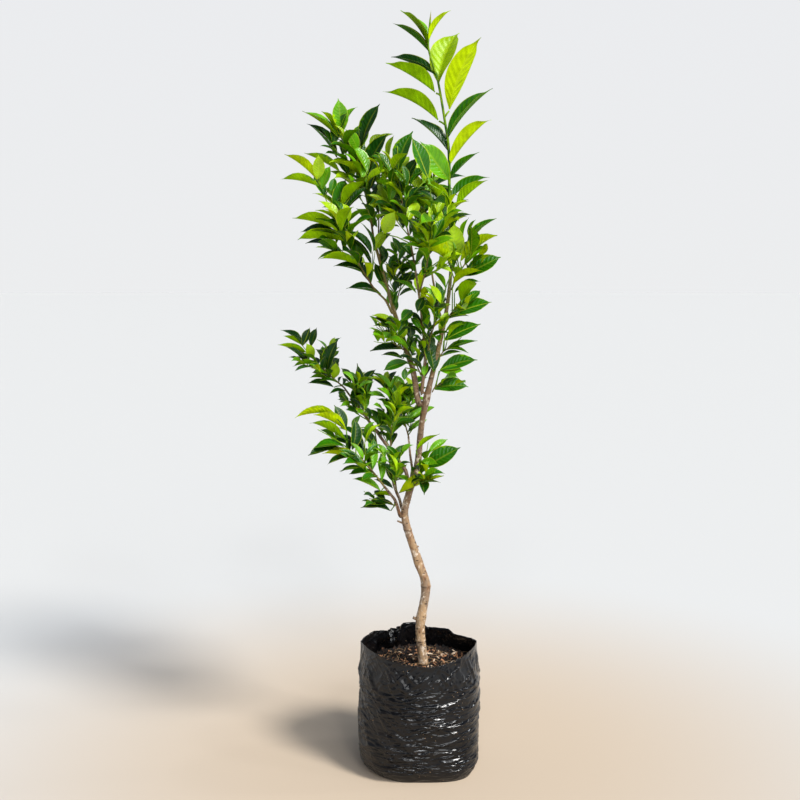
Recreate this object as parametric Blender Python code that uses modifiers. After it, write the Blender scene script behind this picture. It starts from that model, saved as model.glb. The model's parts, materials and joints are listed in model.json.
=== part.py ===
"""A nursery sapling standing in its grow bag: bag, soil, trunk, boughs and masses of leaves.

Metres. +Z is up, +X is the tree's right and -Y its front. The origin is the middle of the bag's flat
underside.
Limbs and leaves grow by one rule. A limb leaves the one that carries it at a given place, heads off at a
compass angle and a rise, and bends evenly along its length. A mass of leaves is such a shoot, with side twigs
and leaves set along it.
"""

import math
import random
from collections import namedtuple

import bmesh
import bpy
from mathutils import Matrix, Vector
from mathutils.bvhtree import BVHTree

GAP = 0.0003  # between two pieces that touch
UP = Vector((0, 0, 1))
SHARP_EDGE = math.radians(50)

# The grow bag is black film, 0.40 m wide laid flat, which makes a tube 0.255 m across when it is filled.
BAG_HEIGHT = 0.262
BAG_HALF_WIDTH = 0.1275
BAG_DEPTH_RATIO = 0.95
BAG_WALL = 0.002
FOOT_TUCK = 0.0135
FOOT_ROUNDING = 0.050
NECK_START = 0.190
NECK_TUCK = 0.006
FOOT_SQUARENESS = 1.3
SQUARENESS_FADE = 1.5
RIPPLE = 0.0012
RIPPLES_ROUND = 7
RIPPLE_SWAY = 5
RIPPLE_SWAY_RATE = 21
# Waves of the film's cut edge, each as how many go round, their height and where they start.
RIM_WAVES = ((1, 0.0028, -1.20), (2, 0.0040, 1.52), (3, 0.0046, 2.93))
RIM_WAVE_FADE = 6
BAG_SIDES = 24
BAG_RINGS = 9
RING_CROWDING = 1.35

SOIL_TOP = 0.215
SOIL_LUMP = 0.0025
# Waves of the soil's top, each as how many go round, their twist from the rim inward and their share.
SOIL_WAVES = ((3, 9, 1.0), (5, -14, 0.7))
SOIL_FLAT_MARGIN = 0.3
SOIL_INSET = 0.0032
SOIL_RINGS = (1.0, 0.78, 0.48, 0.18)

# The trunk's bends, each as height above the floor, place across and place back.
TRUNK_BENDS = (
    (0.300, 0.002, 0.002),
    (0.385, 0.0135, 0.004),
    (0.445, -0.004, 0.000),
    (0.536, -0.031, -0.004),
    (0.585, -0.024, -0.002),
    (0.650, -0.005, 0.003),
    (0.730, 0.003, 0.004),
    (0.800, 0.016, 0.002),
    (0.890, 0.037, -0.002),
    (0.985, 0.056, -0.002),
    (1.080, 0.064, 0.000),
    (1.189, 0.059, 0.000),
)
TRUNK_FOOT = Vector((0.008, 0.000, SOIL_TOP + GAP))
TRUNK_UPRIGHT = 0.004
TRUNK_BASE_RADIUS = 0.0106
TRUNK_TOP_RADIUS = 0.0023
ROOT_FLARE = 0.0014
ROOT_FLARE_HEIGHT = 0.012
TRUNK_STEP = 0.022
# Swellings of the trunk at its old scars and forks, each as height, extra radius and half length.
TRUNK_SWELLINGS = (
    (0.318, 0.0014, 0.010),
    (0.388, 0.0012, 0.012),
    (0.440, 0.0012, 0.016),
    (0.790, 0.0020, 0.022),
)

TRUNK_SIDES = 10
BOUGH_SIDES = 7
STEM_SIDES = 4
TWIG_SIDES = 3
BOUGH_STEP = 0.026
STEM_STEP = 0.034
TWIG_SEGMENTS = 2
COLLAR_TILT = math.radians(30)
COLLAR_REACH = 3.2  # how far a side limb stands off before it follows its own line, in its own radii

# Twigs round a mass's stem. Their length runs from TWIG_LONGEST at the stem's root down by TWIG_SHORTENING.
TWIG_RADIUS = 0.0013
TIP_RADIUS = 0.0006
TWIG_ANGLE = 46
TWIG_ANGLE_SPREAD = 8
TWIG_RANGE = (0.80, 1.15)
TWIG_LONGEST = 1.10
TWIG_SHORTENING = 0.35
TWIG_LIFT = 0.18
TWIG_BARE = 0.15
TWIG_LEAF_SIZE = 0.88
TWIG_TURN = 137.5
FIRST_TWIG = 0.3
LAST_TWIG = 0.85

# Leaves stand alternately, wider apart from the shoot low down than at its tip.
LEAF_ANGLE_LOW = 63
LEAF_ANGLE_TIP = 44
LEAF_ANGLE_SPREAD = 9
LEAF_ROLL_SPREAD = 22
LEAF_TURN_SPREAD = 12
LEAF_SIZE_RANGE = (0.86, 1.12)
LEAF_LIFT = 0.14
LEAF_UPWARD = 0.8
LEAF_WANDER = 0.5
TIP_LEAF_PLACE = 0.98
TIP_LEAF_TILT = 1.6
TIP_LEAF_SIZE = 0.62
LEAF_WIDTH = 0.42
LEAF_RANGE = 0.36
LEAF_WIDEST = 0.46
LEAF_THICKNESS = 0.0016
LEAF_FOLD = 0.14
LEAF_ARCH = 0.07
LEAF_DROOP = 0.10
LEAF_CLEARANCE = 0.0006
LEAF_FOOT = 0.2  # share of a leaf that may sink into its own twig
LEAF_TRIES = 7
LIMB_CLEARANCE = 1.6
LEVEL_LEAST = 0.3
LEADER_LEAFY = 0.90
LIGHTWARD = Vector((0.35, -0.85, 0.45))

Limb = namedtuple("Limb", "name parent at heading rise bend length base tip")
Foliage = namedtuple(
    "Foliage",
    "name parent at heading rise bend length base leaf pitch bare twigs twig turn",
)

# at is the share of the parent's length, and 1 grows on from its tip. Angles are in degrees, the heading from
# +X, and bend is how much the rise grows along the limb. A mass has leaf as its leaves' length, pitch as the
# space between them, bare as the leafless share of its stem, twigs of length twig, and turn from leaf to leaf.
BOUGHS = (
    Limb("second_leader", "trunk", 0.58, 164, 69, 6, 0.361, 0.0066, 0.0026),
    Limb("middle_bough", "trunk", 0.604, 233, 86, -14, 0.315, 0.004, 0.0018),
    Limb("back_bough", "trunk", 0.745, 112, 58, 12, 0.15, 0.003, 0.0018),
    Limb("far_left_bough", "second_leader", 0.56, 208, 54, -16, 0.06, 0.0028, 0.002),
    Limb("long_low_bough", "trunk", 0.415, 161, 51, 0, 0.243, 0.0042, 0.0019),
    Limb("low_left_bough", "trunk", 0.338, 216, 55, -6, 0.085, 0.004, 0.0023),
    Limb("inner_low_bough", "trunk", 0.352, 130, 37, 60, 0.13, 0.0034, 0.0019),
    Limb("low_back_bough", "trunk", 0.42, 100, 42, 20, 0.1, 0.003, 0.0019),
)

FOLIAGE = (
    Foliage("leader", "trunk", 1, 180, 87, -8, 0.372, 0.0023, 0.142, 0.0235, 0.0, 0, 0, 176),
    Foliage("upper_right", "trunk", 0.828, 330, 58, -12, 0.125, 0.0018, 0.08, 0.016, 0.1, 3, 0.055, 150),
    Foliage("mid_right", "trunk", 0.765, 322, 40, -14, 0.085, 0.0016, 0.078, 0.016, 0.12, 2, 0.045, 150),
    Foliage("right_twig", "trunk", 0.686, 345, 32, 10, 0.065, 0.0016, 0.072, 0.014, 0.15, 1, 0.045, 150),
    Foliage("low_twig", "trunk", 0.61, 350, 32, -12, 0.065, 0.0015, 0.07, 0.015, 0.25, 1, 0.04, 150),
    Foliage("leader_side", "trunk", 0.88, 215, 64, 10, 0.11, 0.0017, 0.076, 0.017, 0.15, 2, 0.06, 144),
    Foliage("upper_left", "second_leader", 1, 202, 83, -23, 0.254, 0.0026, 0.084, 0.019, 0.06, 5, 0.085, 144),
    Foliage("upper_back", "second_leader", 0.9, 88, 74, 10, 0.236, 0.002, 0.08, 0.02, 0.15, 3, 0.08, 144),
    Foliage("far_left", "far_left_bough", 1, 200, 44, 20, 0.262, 0.002, 0.096, 0.02, 0.04, 4, 0.075, 150),
    Foliage("mid_left", "second_leader", 0.33, 229, 11, 45, 0.09, 0.0018, 0.07, 0.016, 0.12, 3, 0.055, 144),
    Foliage("middle", "middle_bough", 1, 201, 74, 15, 0.19, 0.0018, 0.078, 0.018, 0.04, 4, 0.08, 144),
    Foliage("front", "middle_bough", 0.68, 285, 30, 78, 0.24, 0.0018, 0.074, 0.018, 0.15, 4, 0.07, 144),
    Foliage("heart", "middle_bough", 0.28, 312, 62, 8, 0.15, 0.0017, 0.064, 0.017, 0.15, 3, 0.055, 144),
    Foliage("left_heart", "second_leader", 0.58, 40, 62, 20, 0.13, 0.0017, 0.064, 0.016, 0.15, 4, 0.055, 144),
    Foliage("fork", "middle_bough", 0.12, 170, 52, 20, 0.09, 0.0016, 0.058, 0.015, 0.15, 2, 0.05, 144),
    Foliage("back", "back_bough", 1, 118, 70, 12, 0.17, 0.0018, 0.078, 0.018, 0.06, 4, 0.08, 144),
    Foliage("long_bough", "long_low_bough", 1, 168, 38, 12, 0.13, 0.0019, 0.056, 0.014, 0.02, 4, 0.055, 144),
    Foliage("inner_bough", "long_low_bough", 0.56, 211, 54, 15, 0.119, 0.0018, 0.058, 0.015, 0.1, 3, 0.06, 144),
    Foliage("low_left", "low_left_bough", 1, 201, 55, -27, 0.19, 0.0023, 0.084, 0.02, 0.02, 4, 0.058, 150),
    Foliage("low_bough", "low_left_bough", 0.35, 185, 24, -20, 0.06, 0.0016, 0.058, 0.015, 0.15, 1, 0.04, 150),
    Foliage("inner_low", "inner_low_bough", 1, 280, 84, 4, 0.13, 0.0019, 0.06, 0.016, 0.02, 4, 0.058, 144),
    Foliage("trunk_side", "inner_low_bough", 0.3, 265, 50, 20, 0.09, 0.0016, 0.056, 0.015, 0.15, 2, 0.05, 144),
    Foliage("low_right", "trunk", 0.448, 335, 34, -8, 0.055, 0.0016, 0.07, 0.014, 0.15, 1, 0.045, 150),
    Foliage("low_front", "trunk", 0.395, 296, 28, 10, 0.085, 0.0017, 0.066, 0.015, 0.12, 2, 0.05, 144),
    Foliage("low_back", "low_back_bough", 1, 112, 50, 14, 0.105, 0.0019, 0.066, 0.017, 0.04, 4, 0.058, 144),
)


def clear_scene():
    """Removes whatever the scene holds."""
    for old in list(bpy.data.objects):
        bpy.data.objects.remove(old)


def new_collection(name):
    collection = bpy.data.collections.new(name)
    bpy.context.scene.collection.children.link(collection)
    return collection


def new_material(name, colour, roughness, metallic=0.0):
    """A Principled material of one colour."""
    material = bpy.data.materials.new(name)
    material.use_nodes = True
    surface = material.node_tree.nodes["Principled BSDF"]
    surface.inputs["Base Color"].default_value = (*colour, 1)
    surface.inputs["Roughness"].default_value = roughness
    surface.inputs["Metallic"].default_value = metallic
    material.diffuse_color = (*colour, 1)
    return material


def new_object(name, mesh, collection, material=None):
    made = bpy.data.objects.new(name, mesh)
    if material:
        mesh.materials.append(material)
    collection.objects.link(made)
    return made


def mesh_from(bm, name, smooth=False):
    """Turns a bmesh into a mesh, and frees it."""
    mesh = bpy.data.meshes.new(name)
    bm.to_mesh(mesh)
    bm.free()
    if smooth:
        mesh.shade_smooth()
        mesh.set_sharp_from_angle(angle=SHARP_EDGE)
    return mesh


def evaluated_mesh(obj):
    """The object's mesh with its modifiers applied, or its tube if it is a curve."""
    bpy.context.view_layer.update()
    graph = bpy.context.evaluated_depsgraph_get()
    return bpy.data.meshes.new_from_object(obj.evaluated_get(graph), depsgraph=graph)


def smoothstep(value):
    value = min(max(value, 0.0), 1.0)
    return value * value * (3 - 2 * value)


# ---------------------------------------------------------------- bag and soil


def bag_outline(angle, height, inset=0.0):
    """Half width and half depth of the bag at one angle and height, as a point in plan."""
    share = min(max(height / BAG_HEIGHT, 0.0), 1.0)
    tuck = FOOT_TUCK * max(0.0, 1 - height / FOOT_ROUNDING) ** 2
    neck = NECK_TUCK * smoothstep((height - NECK_START) / (BAG_HEIGHT - NECK_START))
    half = BAG_HALF_WIDTH - tuck - neck - inset
    power = 2 + FOOT_SQUARENESS * (1 - share) ** SQUARENESS_FADE
    across, back = math.cos(angle), math.sin(angle)
    reach = (abs(across) ** power + abs(back) ** power) ** (-1 / power)
    sway = RIPPLE_SWAY * math.sin(RIPPLE_SWAY_RATE * height)
    reach *= half + RIPPLE * share * math.sin(RIPPLES_ROUND * angle + sway)
    return Vector((across * reach, back * reach * BAG_DEPTH_RATIO))


def rim_lift(angle):
    """How far the cut edge of the film stands above or below its mean height."""
    return sum(high * math.sin(count * angle + start) for count, high, start in RIM_WAVES)


def walled_form(ring_places, top):
    """A closed foot with rings of wall extruded from it one by one. ring_places gives each ring's points."""
    bm = bmesh.new()
    bmesh.ops.create_circle(bm, cap_ends=True, segments=BAG_SIDES, radius=1)
    ring = sorted(bm.verts, key=lambda v: math.atan2(v.co.y, v.co.x))
    for vert, place in zip(ring, ring_places[0]):
        vert.co = place
    edges = list(bm.edges)
    for places in ring_places[1:]:
        raised = bmesh.ops.extrude_edge_only(bm, edges=edges)["geom"]
        edges = [item for item in raised if isinstance(item, bmesh.types.BMEdge)]
        ring = [item for item in raised if isinstance(item, bmesh.types.BMVert)]
        ring.sort(key=lambda v: math.atan2(v.co.y, v.co.x))
        for vert, place in zip(ring, places):
            vert.co = place
    if top:
        bmesh.ops.contextual_create(bm, geom=edges)
    bmesh.ops.recalc_face_normals(bm, faces=bm.faces)
    return bm


def ring_angles():
    return [math.tau * (i + 0.5) / BAG_SIDES - math.pi for i in range(BAG_SIDES)]


def ring_shares():
    """Heights of the bag's rings as shares of its height, closer together at the foot."""
    return [(step / BAG_RINGS) ** RING_CROWDING for step in range(BAG_RINGS + 1)]


def make_bag(collection):
    """The film bag: an open form given a wall by Solidify."""
    rings = []
    for share in ring_shares():
        ring = []
        for angle in ring_angles():
            height = BAG_HEIGHT * share + rim_lift(angle) * share**RIM_WAVE_FADE
            ring.append((*bag_outline(angle, height), height))
        rings.append(ring)
    mesh = mesh_from(walled_form(rings, top=False), "nursery_bag", smooth=True)
    film = new_material("bag_film", (0.012, 0.012, 0.014), 0.28)
    bag = new_object("nursery_bag", mesh, collection, film)
    wall = bag.modifiers.new("film", "SOLIDIFY")
    wall.thickness = BAG_WALL
    wall.offset = -1
    wall.use_even_offset = True
    return bag


def soil_lump(angle, share):
    """Unevenness of the soil's top, none where the trunk stands."""
    wave = sum(part * math.sin(count * angle + twist * share) for count, twist, part in SOIL_WAVES)
    return SOIL_LUMP * wave * smoothstep((share - SOIL_RINGS[-1]) / SOIL_FLAT_MARGIN)


def make_soil(collection):
    """The root ball's soil, which fills the bag to below its rim."""
    heights = [share * BAG_HEIGHT for share in ring_shares()]
    rings = []
    for height in (h for h in heights if h < SOIL_TOP - 2 * SOIL_LUMP):
        low = max(height, BAG_WALL + GAP)
        ring = [(*bag_outline(angle, height, SOIL_INSET), low) for angle in ring_angles()]
        rings.append(ring)
    for share in SOIL_RINGS:
        ring = []
        for angle in ring_angles():
            place = bag_outline(angle, SOIL_TOP, SOIL_INSET) * share
            ring.append((*place, SOIL_TOP + soil_lump(angle, share)))
        rings.append(ring)
    mesh = mesh_from(walled_form(rings, top=True), "soil", smooth=True)
    earth = new_material("soil", (0.062, 0.037, 0.022), 0.95)
    return new_object("soil", mesh, collection, earth)


# ---------------------------------------------------------------- limbs


def through(points, step):
    """A smooth line through the points, with a place about every step along it."""
    ends = [2 * points[0] - points[1], *points, 2 * points[-1] - points[-2]]
    line = []
    for a, b, c, d in zip(ends, ends[1:], ends[2:], ends[3:]):
        count = max(2, round((c - b).length / step))
        for i in range(count):
            t = i / count
            curve = 2 * b + (c - a) * t + (2 * a - 5 * b + 4 * c - d) * t**2
            line.append((curve + (3 * b - a - 3 * c + d) * t**3) / 2)
    return line + [points[-1]]


def arc(start, limb, count):
    """Places along a limb that starts at a point and bends evenly."""
    places = [start]
    heading = math.radians(limb.heading)
    for i in range(count):
        rise = math.radians(limb.rise + limb.bend * (i + 0.5) / count)
        flat = math.cos(rise)
        way = Vector((flat * math.cos(heading), flat * math.sin(heading), math.sin(rise)))
        places.append(places[-1] + way * (limb.length / count))
    return places


def along(path, share):
    """Place, direction and radius at a share of a path's length. A path is a list of (place, radius)."""
    spans = [(b[0] - a[0]).length for a, b in zip(path, path[1:])]
    left = share * sum(spans)
    for (a, ra), (b, rb), span in zip(path, path[1:], spans):
        if left <= span or b is path[-1][0]:
            t = left / span
            return a.lerp(b, t), (b - a).normalized(), ra + (rb - ra) * t
        left -= span
    return path[-1][0], (path[-1][0] - path[-2][0]).normalized(), path[-1][1]


def from_tip(parent, limb, count):
    """Places of a limb that grows on from its parent's tip, cap to cap."""
    tip = parent[-1][0]
    onward = (tip - parent[-2][0]).normalized()
    root = tip + onward * GAP
    return [root, *arc(root + onward * 2 * limb.base, limb, count)]


def from_side(parent, limb, count):
    """Places of a limb that leaves its parent's side by a short collar, clear of it by the gap."""
    place, onward, thickness = along(parent, limb.at)
    line = arc(place, limb, count)
    way = (line[1] - line[0]).normalized()
    out = (way - onward * way.dot(onward)).normalized()
    collar = out * math.cos(COLLAR_TILT) + onward * math.sin(COLLAR_TILT)
    root = place + out * (thickness + GAP + limb.base * math.sin(COLLAR_TILT))
    clear = thickness + COLLAR_REACH * limb.base
    beyond = [p for p in line if (p - place).dot(out) > clear]
    return [root, root + collar * limb.base, *beyond]


def limb_path(parent, limb, step):
    """A limb as a list of (place, radius), tapering to its tip."""
    count = max(4, round(limb.length / step))
    grow = from_tip if limb.at == 1 else from_side
    places = grow(parent, limb, count)
    tip = limb.tip if isinstance(limb, Limb) else TIP_RADIUS
    last = len(places) - 1
    return [(p, limb.base + (tip - limb.base) * i / last) for i, p in enumerate(places)]


def trunk_radius(height):
    """The trunk's taper, with its root flare and its swellings."""
    share = (height - TRUNK_FOOT.z) / (TRUNK_BENDS[-1][0] - TRUNK_FOOT.z)
    radius = TRUNK_BASE_RADIUS + (TRUNK_TOP_RADIUS - TRUNK_BASE_RADIUS) * share
    radius += ROOT_FLARE * math.exp(-(height - TRUNK_FOOT.z) / ROOT_FLARE_HEIGHT)
    for middle, extra, half in TRUNK_SWELLINGS:
        radius += extra * math.exp(-(((height - middle) / half) ** 2))
    return radius


def trunk_path():
    bends = [Vector((across, back, height)) for height, across, back in TRUNK_BENDS]
    upright = TRUNK_FOOT + UP * TRUNK_UPRIGHT
    places = [TRUNK_FOOT, *through([upright, *bends], TRUNK_STEP)]
    return [(place, trunk_radius(place.z)) for place in places]


def section(sides):
    """A flat ring of some sides and unit radius, which tubes take as their section."""
    name = f"section_{sides}"
    if name not in bpy.data.objects:
        outline = bpy.data.curves.new(name, "CURVE")
        spline = outline.splines.new("POLY")
        spline.points.add(sides - 1)
        for i, point in enumerate(spline.points):
            angle = math.tau * i / sides
            point.co = (math.cos(angle), math.sin(angle), 0, 1)
        spline.use_cyclic_u = True
        guide = new_object(name, outline, guides)
        guide.hide_render = True
        guide.display_type = "WIRE"
    return bpy.data.objects[name]


def tube(name, path, sides, collection, material=None):
    """A tapering tube along a path, as a closed mesh."""
    line = bpy.data.curves.new(name, "CURVE")
    line.dimensions = "3D"
    line.twist_mode = "MINIMUM"
    line.bevel_mode = "OBJECT"
    line.bevel_object = section(sides)
    line.use_fill_caps = True
    spline = line.splines.new("POLY")
    spline.points.add(len(path) - 1)
    for point, (place, radius) in zip(spline.points, path):
        point.co = (*place, 1)
        point.radius = radius
    drawn = new_object(name + "_line", line, collection)
    mesh = evaluated_mesh(drawn)
    bpy.data.objects.remove(drawn)
    bm = bmesh.new()
    bm.from_mesh(mesh)
    bmesh.ops.remove_doubles(bm, verts=bm.verts, dist=1e-6)
    bmesh.ops.recalc_face_normals(bm, faces=bm.faces)
    return new_object(name, mesh_from(bm, name, smooth=True), collection, material)


# ---------------------------------------------------------------- leaves


def leaf_corners(frame, length, extra=0.0, root=0.0):
    """A leaf's six corners: root, tip, two sides, and its ridge and keel, folded and arched."""
    middle = LEAF_ARCH * length
    side = LEAF_WIDTH * length / 2 + extra
    thick = LEAF_THICKNESS / 2 + extra
    local = {
        "root": (length * root, 0, middle * 2 * root),
        "tip": (length + extra, 0, -LEAF_DROOP * length),
        "left": (length * LEAF_WIDEST, side, middle + LEAF_FOLD * side),
        "right": (length * LEAF_WIDEST, -side, middle + LEAF_FOLD * side),
        "ridge": (length * LEAF_WIDEST, 0, middle + thick),
        "keel": (length * LEAF_WIDEST, 0, middle - thick),
    }
    return {corner: frame @ Vector(place) for corner, place in local.items()}


def leaf_tree(corners):
    """The leaf's eight faces as a tree for overlap tests."""
    order = ("root", "left", "tip", "right")
    places = [corners[name] for name in (*order, "ridge", "keel")]
    faces = [(i, (i + 1) % 4, pole) for i in range(4) for pole in (4, 5)]
    return BVHTree.FromPolygons(places, faces)


def leaf_object(name, corners, collection):
    """A leaf of eight faces: a sphere of four sides and two rings, its corners pulled to the leaf's."""
    bm = bmesh.new()
    bmesh.ops.create_uvsphere(bm, u_segments=4, v_segments=2, radius=1)
    for vert in bm.verts:
        x, y, z = (round(value) for value in vert.co)
        corner = {
            (-1, 0, 0): "root",
            (1, 0, 0): "tip",
            (0, 1, 0): "left",
            (0, -1, 0): "right",
            (0, 0, 1): "ridge",
            (0, 0, -1): "keel",
        }[(x, y, z)]
        vert.co = corners[corner]
    return new_object(name, mesh_from(bm, name), collection)


def leaf_frame(place, way, facing):
    """A frame whose X runs along the leaf and whose Z is its upper face."""
    upper = (facing - way * facing.dot(way)).normalized()
    side = upper.cross(way)
    turn = Matrix((way, side, upper)).transposed().to_4x4()
    return Matrix.Translation(place) @ turn


def turned(vector, axis, degrees):
    return Matrix.Rotation(math.radians(degrees), 3, axis) @ vector


def across_from(onward):
    """A level direction square to a shoot."""
    side = onward.cross(UP)
    return side.normalized() if side.length > LEVEL_LEAST else Vector((1, 0, 0))


class Mass:
    """One mass of leaves while it grows: its twigs, its leaves and what they must keep clear of."""

    def __init__(self, plan, stem, others):
        self.plan = plan
        self.name = plan.name + "_foliage"
        self.draw = random.Random(self.name)
        self.others = others
        self.stem = stem
        self.twigs = []
        self.leaves = []
        self.trees = []

    def spread(self, most):
        """A chance value from -most to most."""
        return self.draw.uniform(-most, most)

    def clear(self, tree, own):
        """True if nothing of another piece, or of the mass's own blades, crosses the tree."""
        near = self.others + (self.trees if own else [])
        return not any(tree.overlap(other) for other in near)

    def add_leaf(self, place, onward, side, share, size):
        """Tries a few ways of setting one leaf, and skips it if each would touch something."""
        angle = LEAF_ANGLE_LOW + (LEAF_ANGLE_TIP - LEAF_ANGLE_LOW) * share
        for _ in range(LEAF_TRIES):
            lean = math.radians(angle + self.spread(LEAF_ANGLE_SPREAD))
            out = turned(side, onward, self.spread(LEAF_ROLL_SPREAD))
            way = onward * math.cos(lean) + out * math.sin(lean)
            way = (way + UP * LEAF_LIFT).normalized()
            wander = Vector([self.spread(LEAF_WANDER) for _ in range(3)])
            facing = UP * LEAF_UPWARD + LIGHTWARD + wander
            length = size * self.draw.uniform(*LEAF_SIZE_RANGE)
            frame = leaf_frame(place, way, facing)
            wide = leaf_tree(leaf_corners(frame, length, LEAF_CLEARANCE))
            blade = leaf_tree(leaf_corners(frame, length, 0.0, LEAF_FOOT))
            if self.clear(wide, own=False) and self.clear(blade, own=True):
                self.leaves.append(leaf_corners(frame, length))
                self.trees.append(blade)
                return

    def leaf_out(self, path, size, start):
        """Sets leaves alternately along a shoot, and one at the tip of a shoot that isn't a bare leader."""
        end = 1.0 if self.plan.twigs else LEADER_LEAFY
        total = sum((b[0] - a[0]).length for a, b in zip(path, path[1:]))
        count = max(2, round(total * (end - start) / self.plan.pitch))
        side = across_from(path[-1][0] - path[0][0])
        for i in range(count):
            share = (i + 0.5) / count
            place, onward, _ = along(path, start + (end - start) * share)
            out = (side - onward * side.dot(onward)).normalized()
            grown = 1 - LEAF_RANGE * (1 - math.sin(math.pi * share))
            self.add_leaf(place, onward, out, share, size * grown)
            side = turned(side, onward, self.plan.turn + self.spread(LEAF_TURN_SPREAD))
        if self.plan.twigs:
            place, onward, _ = along(path, TIP_LEAF_PLACE)
            self.add_leaf(place, onward, across_from(onward), TIP_LEAF_TILT, size * TIP_LEAF_SIZE)

    def add_twig(self, share, side):
        """A side twig that bends up, if it has room."""
        place, onward, _ = along(self.stem, share)
        out = (side - onward * side.dot(onward)).normalized()
        lean = math.radians(TWIG_ANGLE + self.spread(TWIG_ANGLE_SPREAD))
        way = onward * math.cos(lean) + out * math.sin(lean)
        length = self.plan.twig * self.draw.uniform(*TWIG_RANGE) * (TWIG_LONGEST - TWIG_SHORTENING * share)
        path = [(place, TWIG_RADIUS)]
        for i in range(TWIG_SEGMENTS):
            way = (way + UP * TWIG_LIFT).normalized()
            radius = TWIG_RADIUS + (TIP_RADIUS - TWIG_RADIUS) * (i + 1) / TWIG_SEGMENTS
            path.append((path[-1][0] + way * length / TWIG_SEGMENTS, radius))
        if self.clear(line_tree(path), own=False):
            self.twigs.append(path)
            self.leaf_out(path, self.plan.leaf * TWIG_LEAF_SIZE, TWIG_BARE)

    def grow(self):
        """Sets the twigs round the stem, each with its leaves, and then the stem's own leaves."""
        plan = self.plan
        whole = self.stem[-1][0] - self.stem[0][0]
        side = turned(across_from(whole), whole, self.draw.uniform(0, 360))
        for i in range(plan.twigs):
            share = plan.bare + (LAST_TWIG - plan.bare) * (i + FIRST_TWIG) / plan.twigs
            self.add_twig(share, side)
            side = turned(side, along(self.stem, share)[1], TWIG_TURN)
        self.leaf_out(self.stem, plan.leaf, plan.bare)


def line_tree(path):
    """A path as a three-sided tube, a little fatter than it is, for overlap tests."""
    places, faces = [], []
    for place, radius in path:
        for i in range(3):
            spoke = Vector((math.cos(i * math.tau / 3), math.sin(i * math.tau / 3), 0))
            places.append(place + spoke * (radius + LEAF_CLEARANCE) * LIMB_CLEARANCE)
    for ring in range(len(path) - 1):
        for i in range(3):
            a, b = ring * 3 + i, ring * 3 + (i + 1) % 3
            faces.append((a, b, b + 3, a + 3))
    return BVHTree.FromPolygons(places, faces)


def object_tree(obj):
    """The faces of an object whose mesh lies in place."""
    mesh = obj.data
    return BVHTree.FromPolygons([v.co for v in mesh.vertices], [p.vertices for p in mesh.polygons])


def largest_shell(mesh):
    """Keeps the one outer shell, so that a sealed hollow is filled and a loose scrap is dropped."""
    bm = bmesh.new()
    bm.from_mesh(mesh)
    bm.faces.ensure_lookup_table()
    unseen, shells = set(bm.faces), []
    while unseen:
        front, shell = [unseen.pop()], []
        while front:
            face = front.pop()
            shell.append(face)
            for edge in face.edges:
                for other in edge.link_faces:
                    if other in unseen:
                        unseen.remove(other)
                        front.append(other)
        shells.append(shell)
    shells.sort(key=len)
    spare = [face for shell in shells[:-1] for face in shell]
    bmesh.ops.delete(bm, geom=spare, context="FACES")
    bm.to_mesh(mesh)
    bm.free()


def fuse(mass, collection, material):
    """Joins a mass's stem, twigs and leaves into one solid by one union on a collection."""
    pieces = new_collection(mass.name + "_pieces")
    stem = tube(mass.name, mass.stem, STEM_SIDES, collection, material)
    for i, path in enumerate(mass.twigs):
        tube(f"{mass.name}_twig_{i}", path, TWIG_SIDES, pieces)
    for i, corners in enumerate(mass.leaves):
        leaf_object(f"{mass.name}_leaf_{i}", corners, pieces)
    union = stem.modifiers.new("fuse", "BOOLEAN")
    union.operation = "UNION"
    union.operand_type = "COLLECTION"
    union.collection = pieces
    fused = evaluated_mesh(stem)
    stem.modifiers.remove(union)
    stem.data = fused
    largest_shell(fused)
    for piece in list(pieces.objects):
        bpy.data.objects.remove(piece)
    bpy.data.collections.remove(pieces)
    return stem


def move_origin(obj, place):
    """Puts an object's origin at a place without moving its mesh."""
    obj.data.transform(Matrix.Translation(-place))
    obj.location = place


def grow_limbs(collection, material):
    """The trunk and boughs. Returns each one's path and solid by name."""
    paths = {"trunk": trunk_path()}
    solids = {"trunk": tube("trunk", paths["trunk"], TRUNK_SIDES, collection, material)}
    for limb in BOUGHS:
        paths[limb.name] = limb_path(paths[limb.parent], limb, BOUGH_STEP)
        solids[limb.name] = tube(limb.name, paths[limb.name], BOUGH_SIDES, collection, material)
    return paths, solids


def grow_foliage(paths, solids, collection, material):
    """The masses in turn. Each keeps clear of the limbs, the earlier masses and the later ones' stems."""
    stems = {plan.name: limb_path(paths[plan.parent], plan, STEM_STEP) for plan in FOLIAGE}
    waiting = {name: line_tree(path[2:]) for name, path in stems.items()}
    grown = [object_tree(solid) for solid in solids.values()]
    for plan in FOLIAGE:
        del waiting[plan.name]
        mass = Mass(plan, stems[plan.name], [*grown, *waiting.values()])
        mass.grow()
        paths[mass.name] = mass.stem
        solids[mass.name] = fuse(mass, collection, material)
        grown.append(object_tree(solids[mass.name]))


def build():
    """Makes every piece and hangs them all on one empty."""
    sapling = new_collection("sapling")
    whole = bpy.data.objects.new("sapling_frame", None)
    sapling.objects.link(whole)
    ball = [make_bag(sapling), make_soil(sapling)]
    bark = new_material("bark", (0.36, 0.27, 0.17), 0.85)
    green = new_material("leaves", (0.075, 0.21, 0.02), 0.4)
    paths, solids = grow_limbs(sapling, bark)
    grow_foliage(paths, solids, sapling, green)
    for name, solid in solids.items():
        move_origin(solid, paths[name][0][0])
    for piece in (*ball, *solids.values()):
        piece.parent = whole


clear_scene()
guides = new_collection("guides")
build()
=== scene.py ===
"""Looks of a nursery sapling in its grow bag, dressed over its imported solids. Metres, +Z up, -Y to the front."""

import json
import math
import random
from collections import namedtuple

import bpy
import numpy as np
from mathutils import Matrix, Vector, noise
from mathutils.bvhtree import BVHTree

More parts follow.
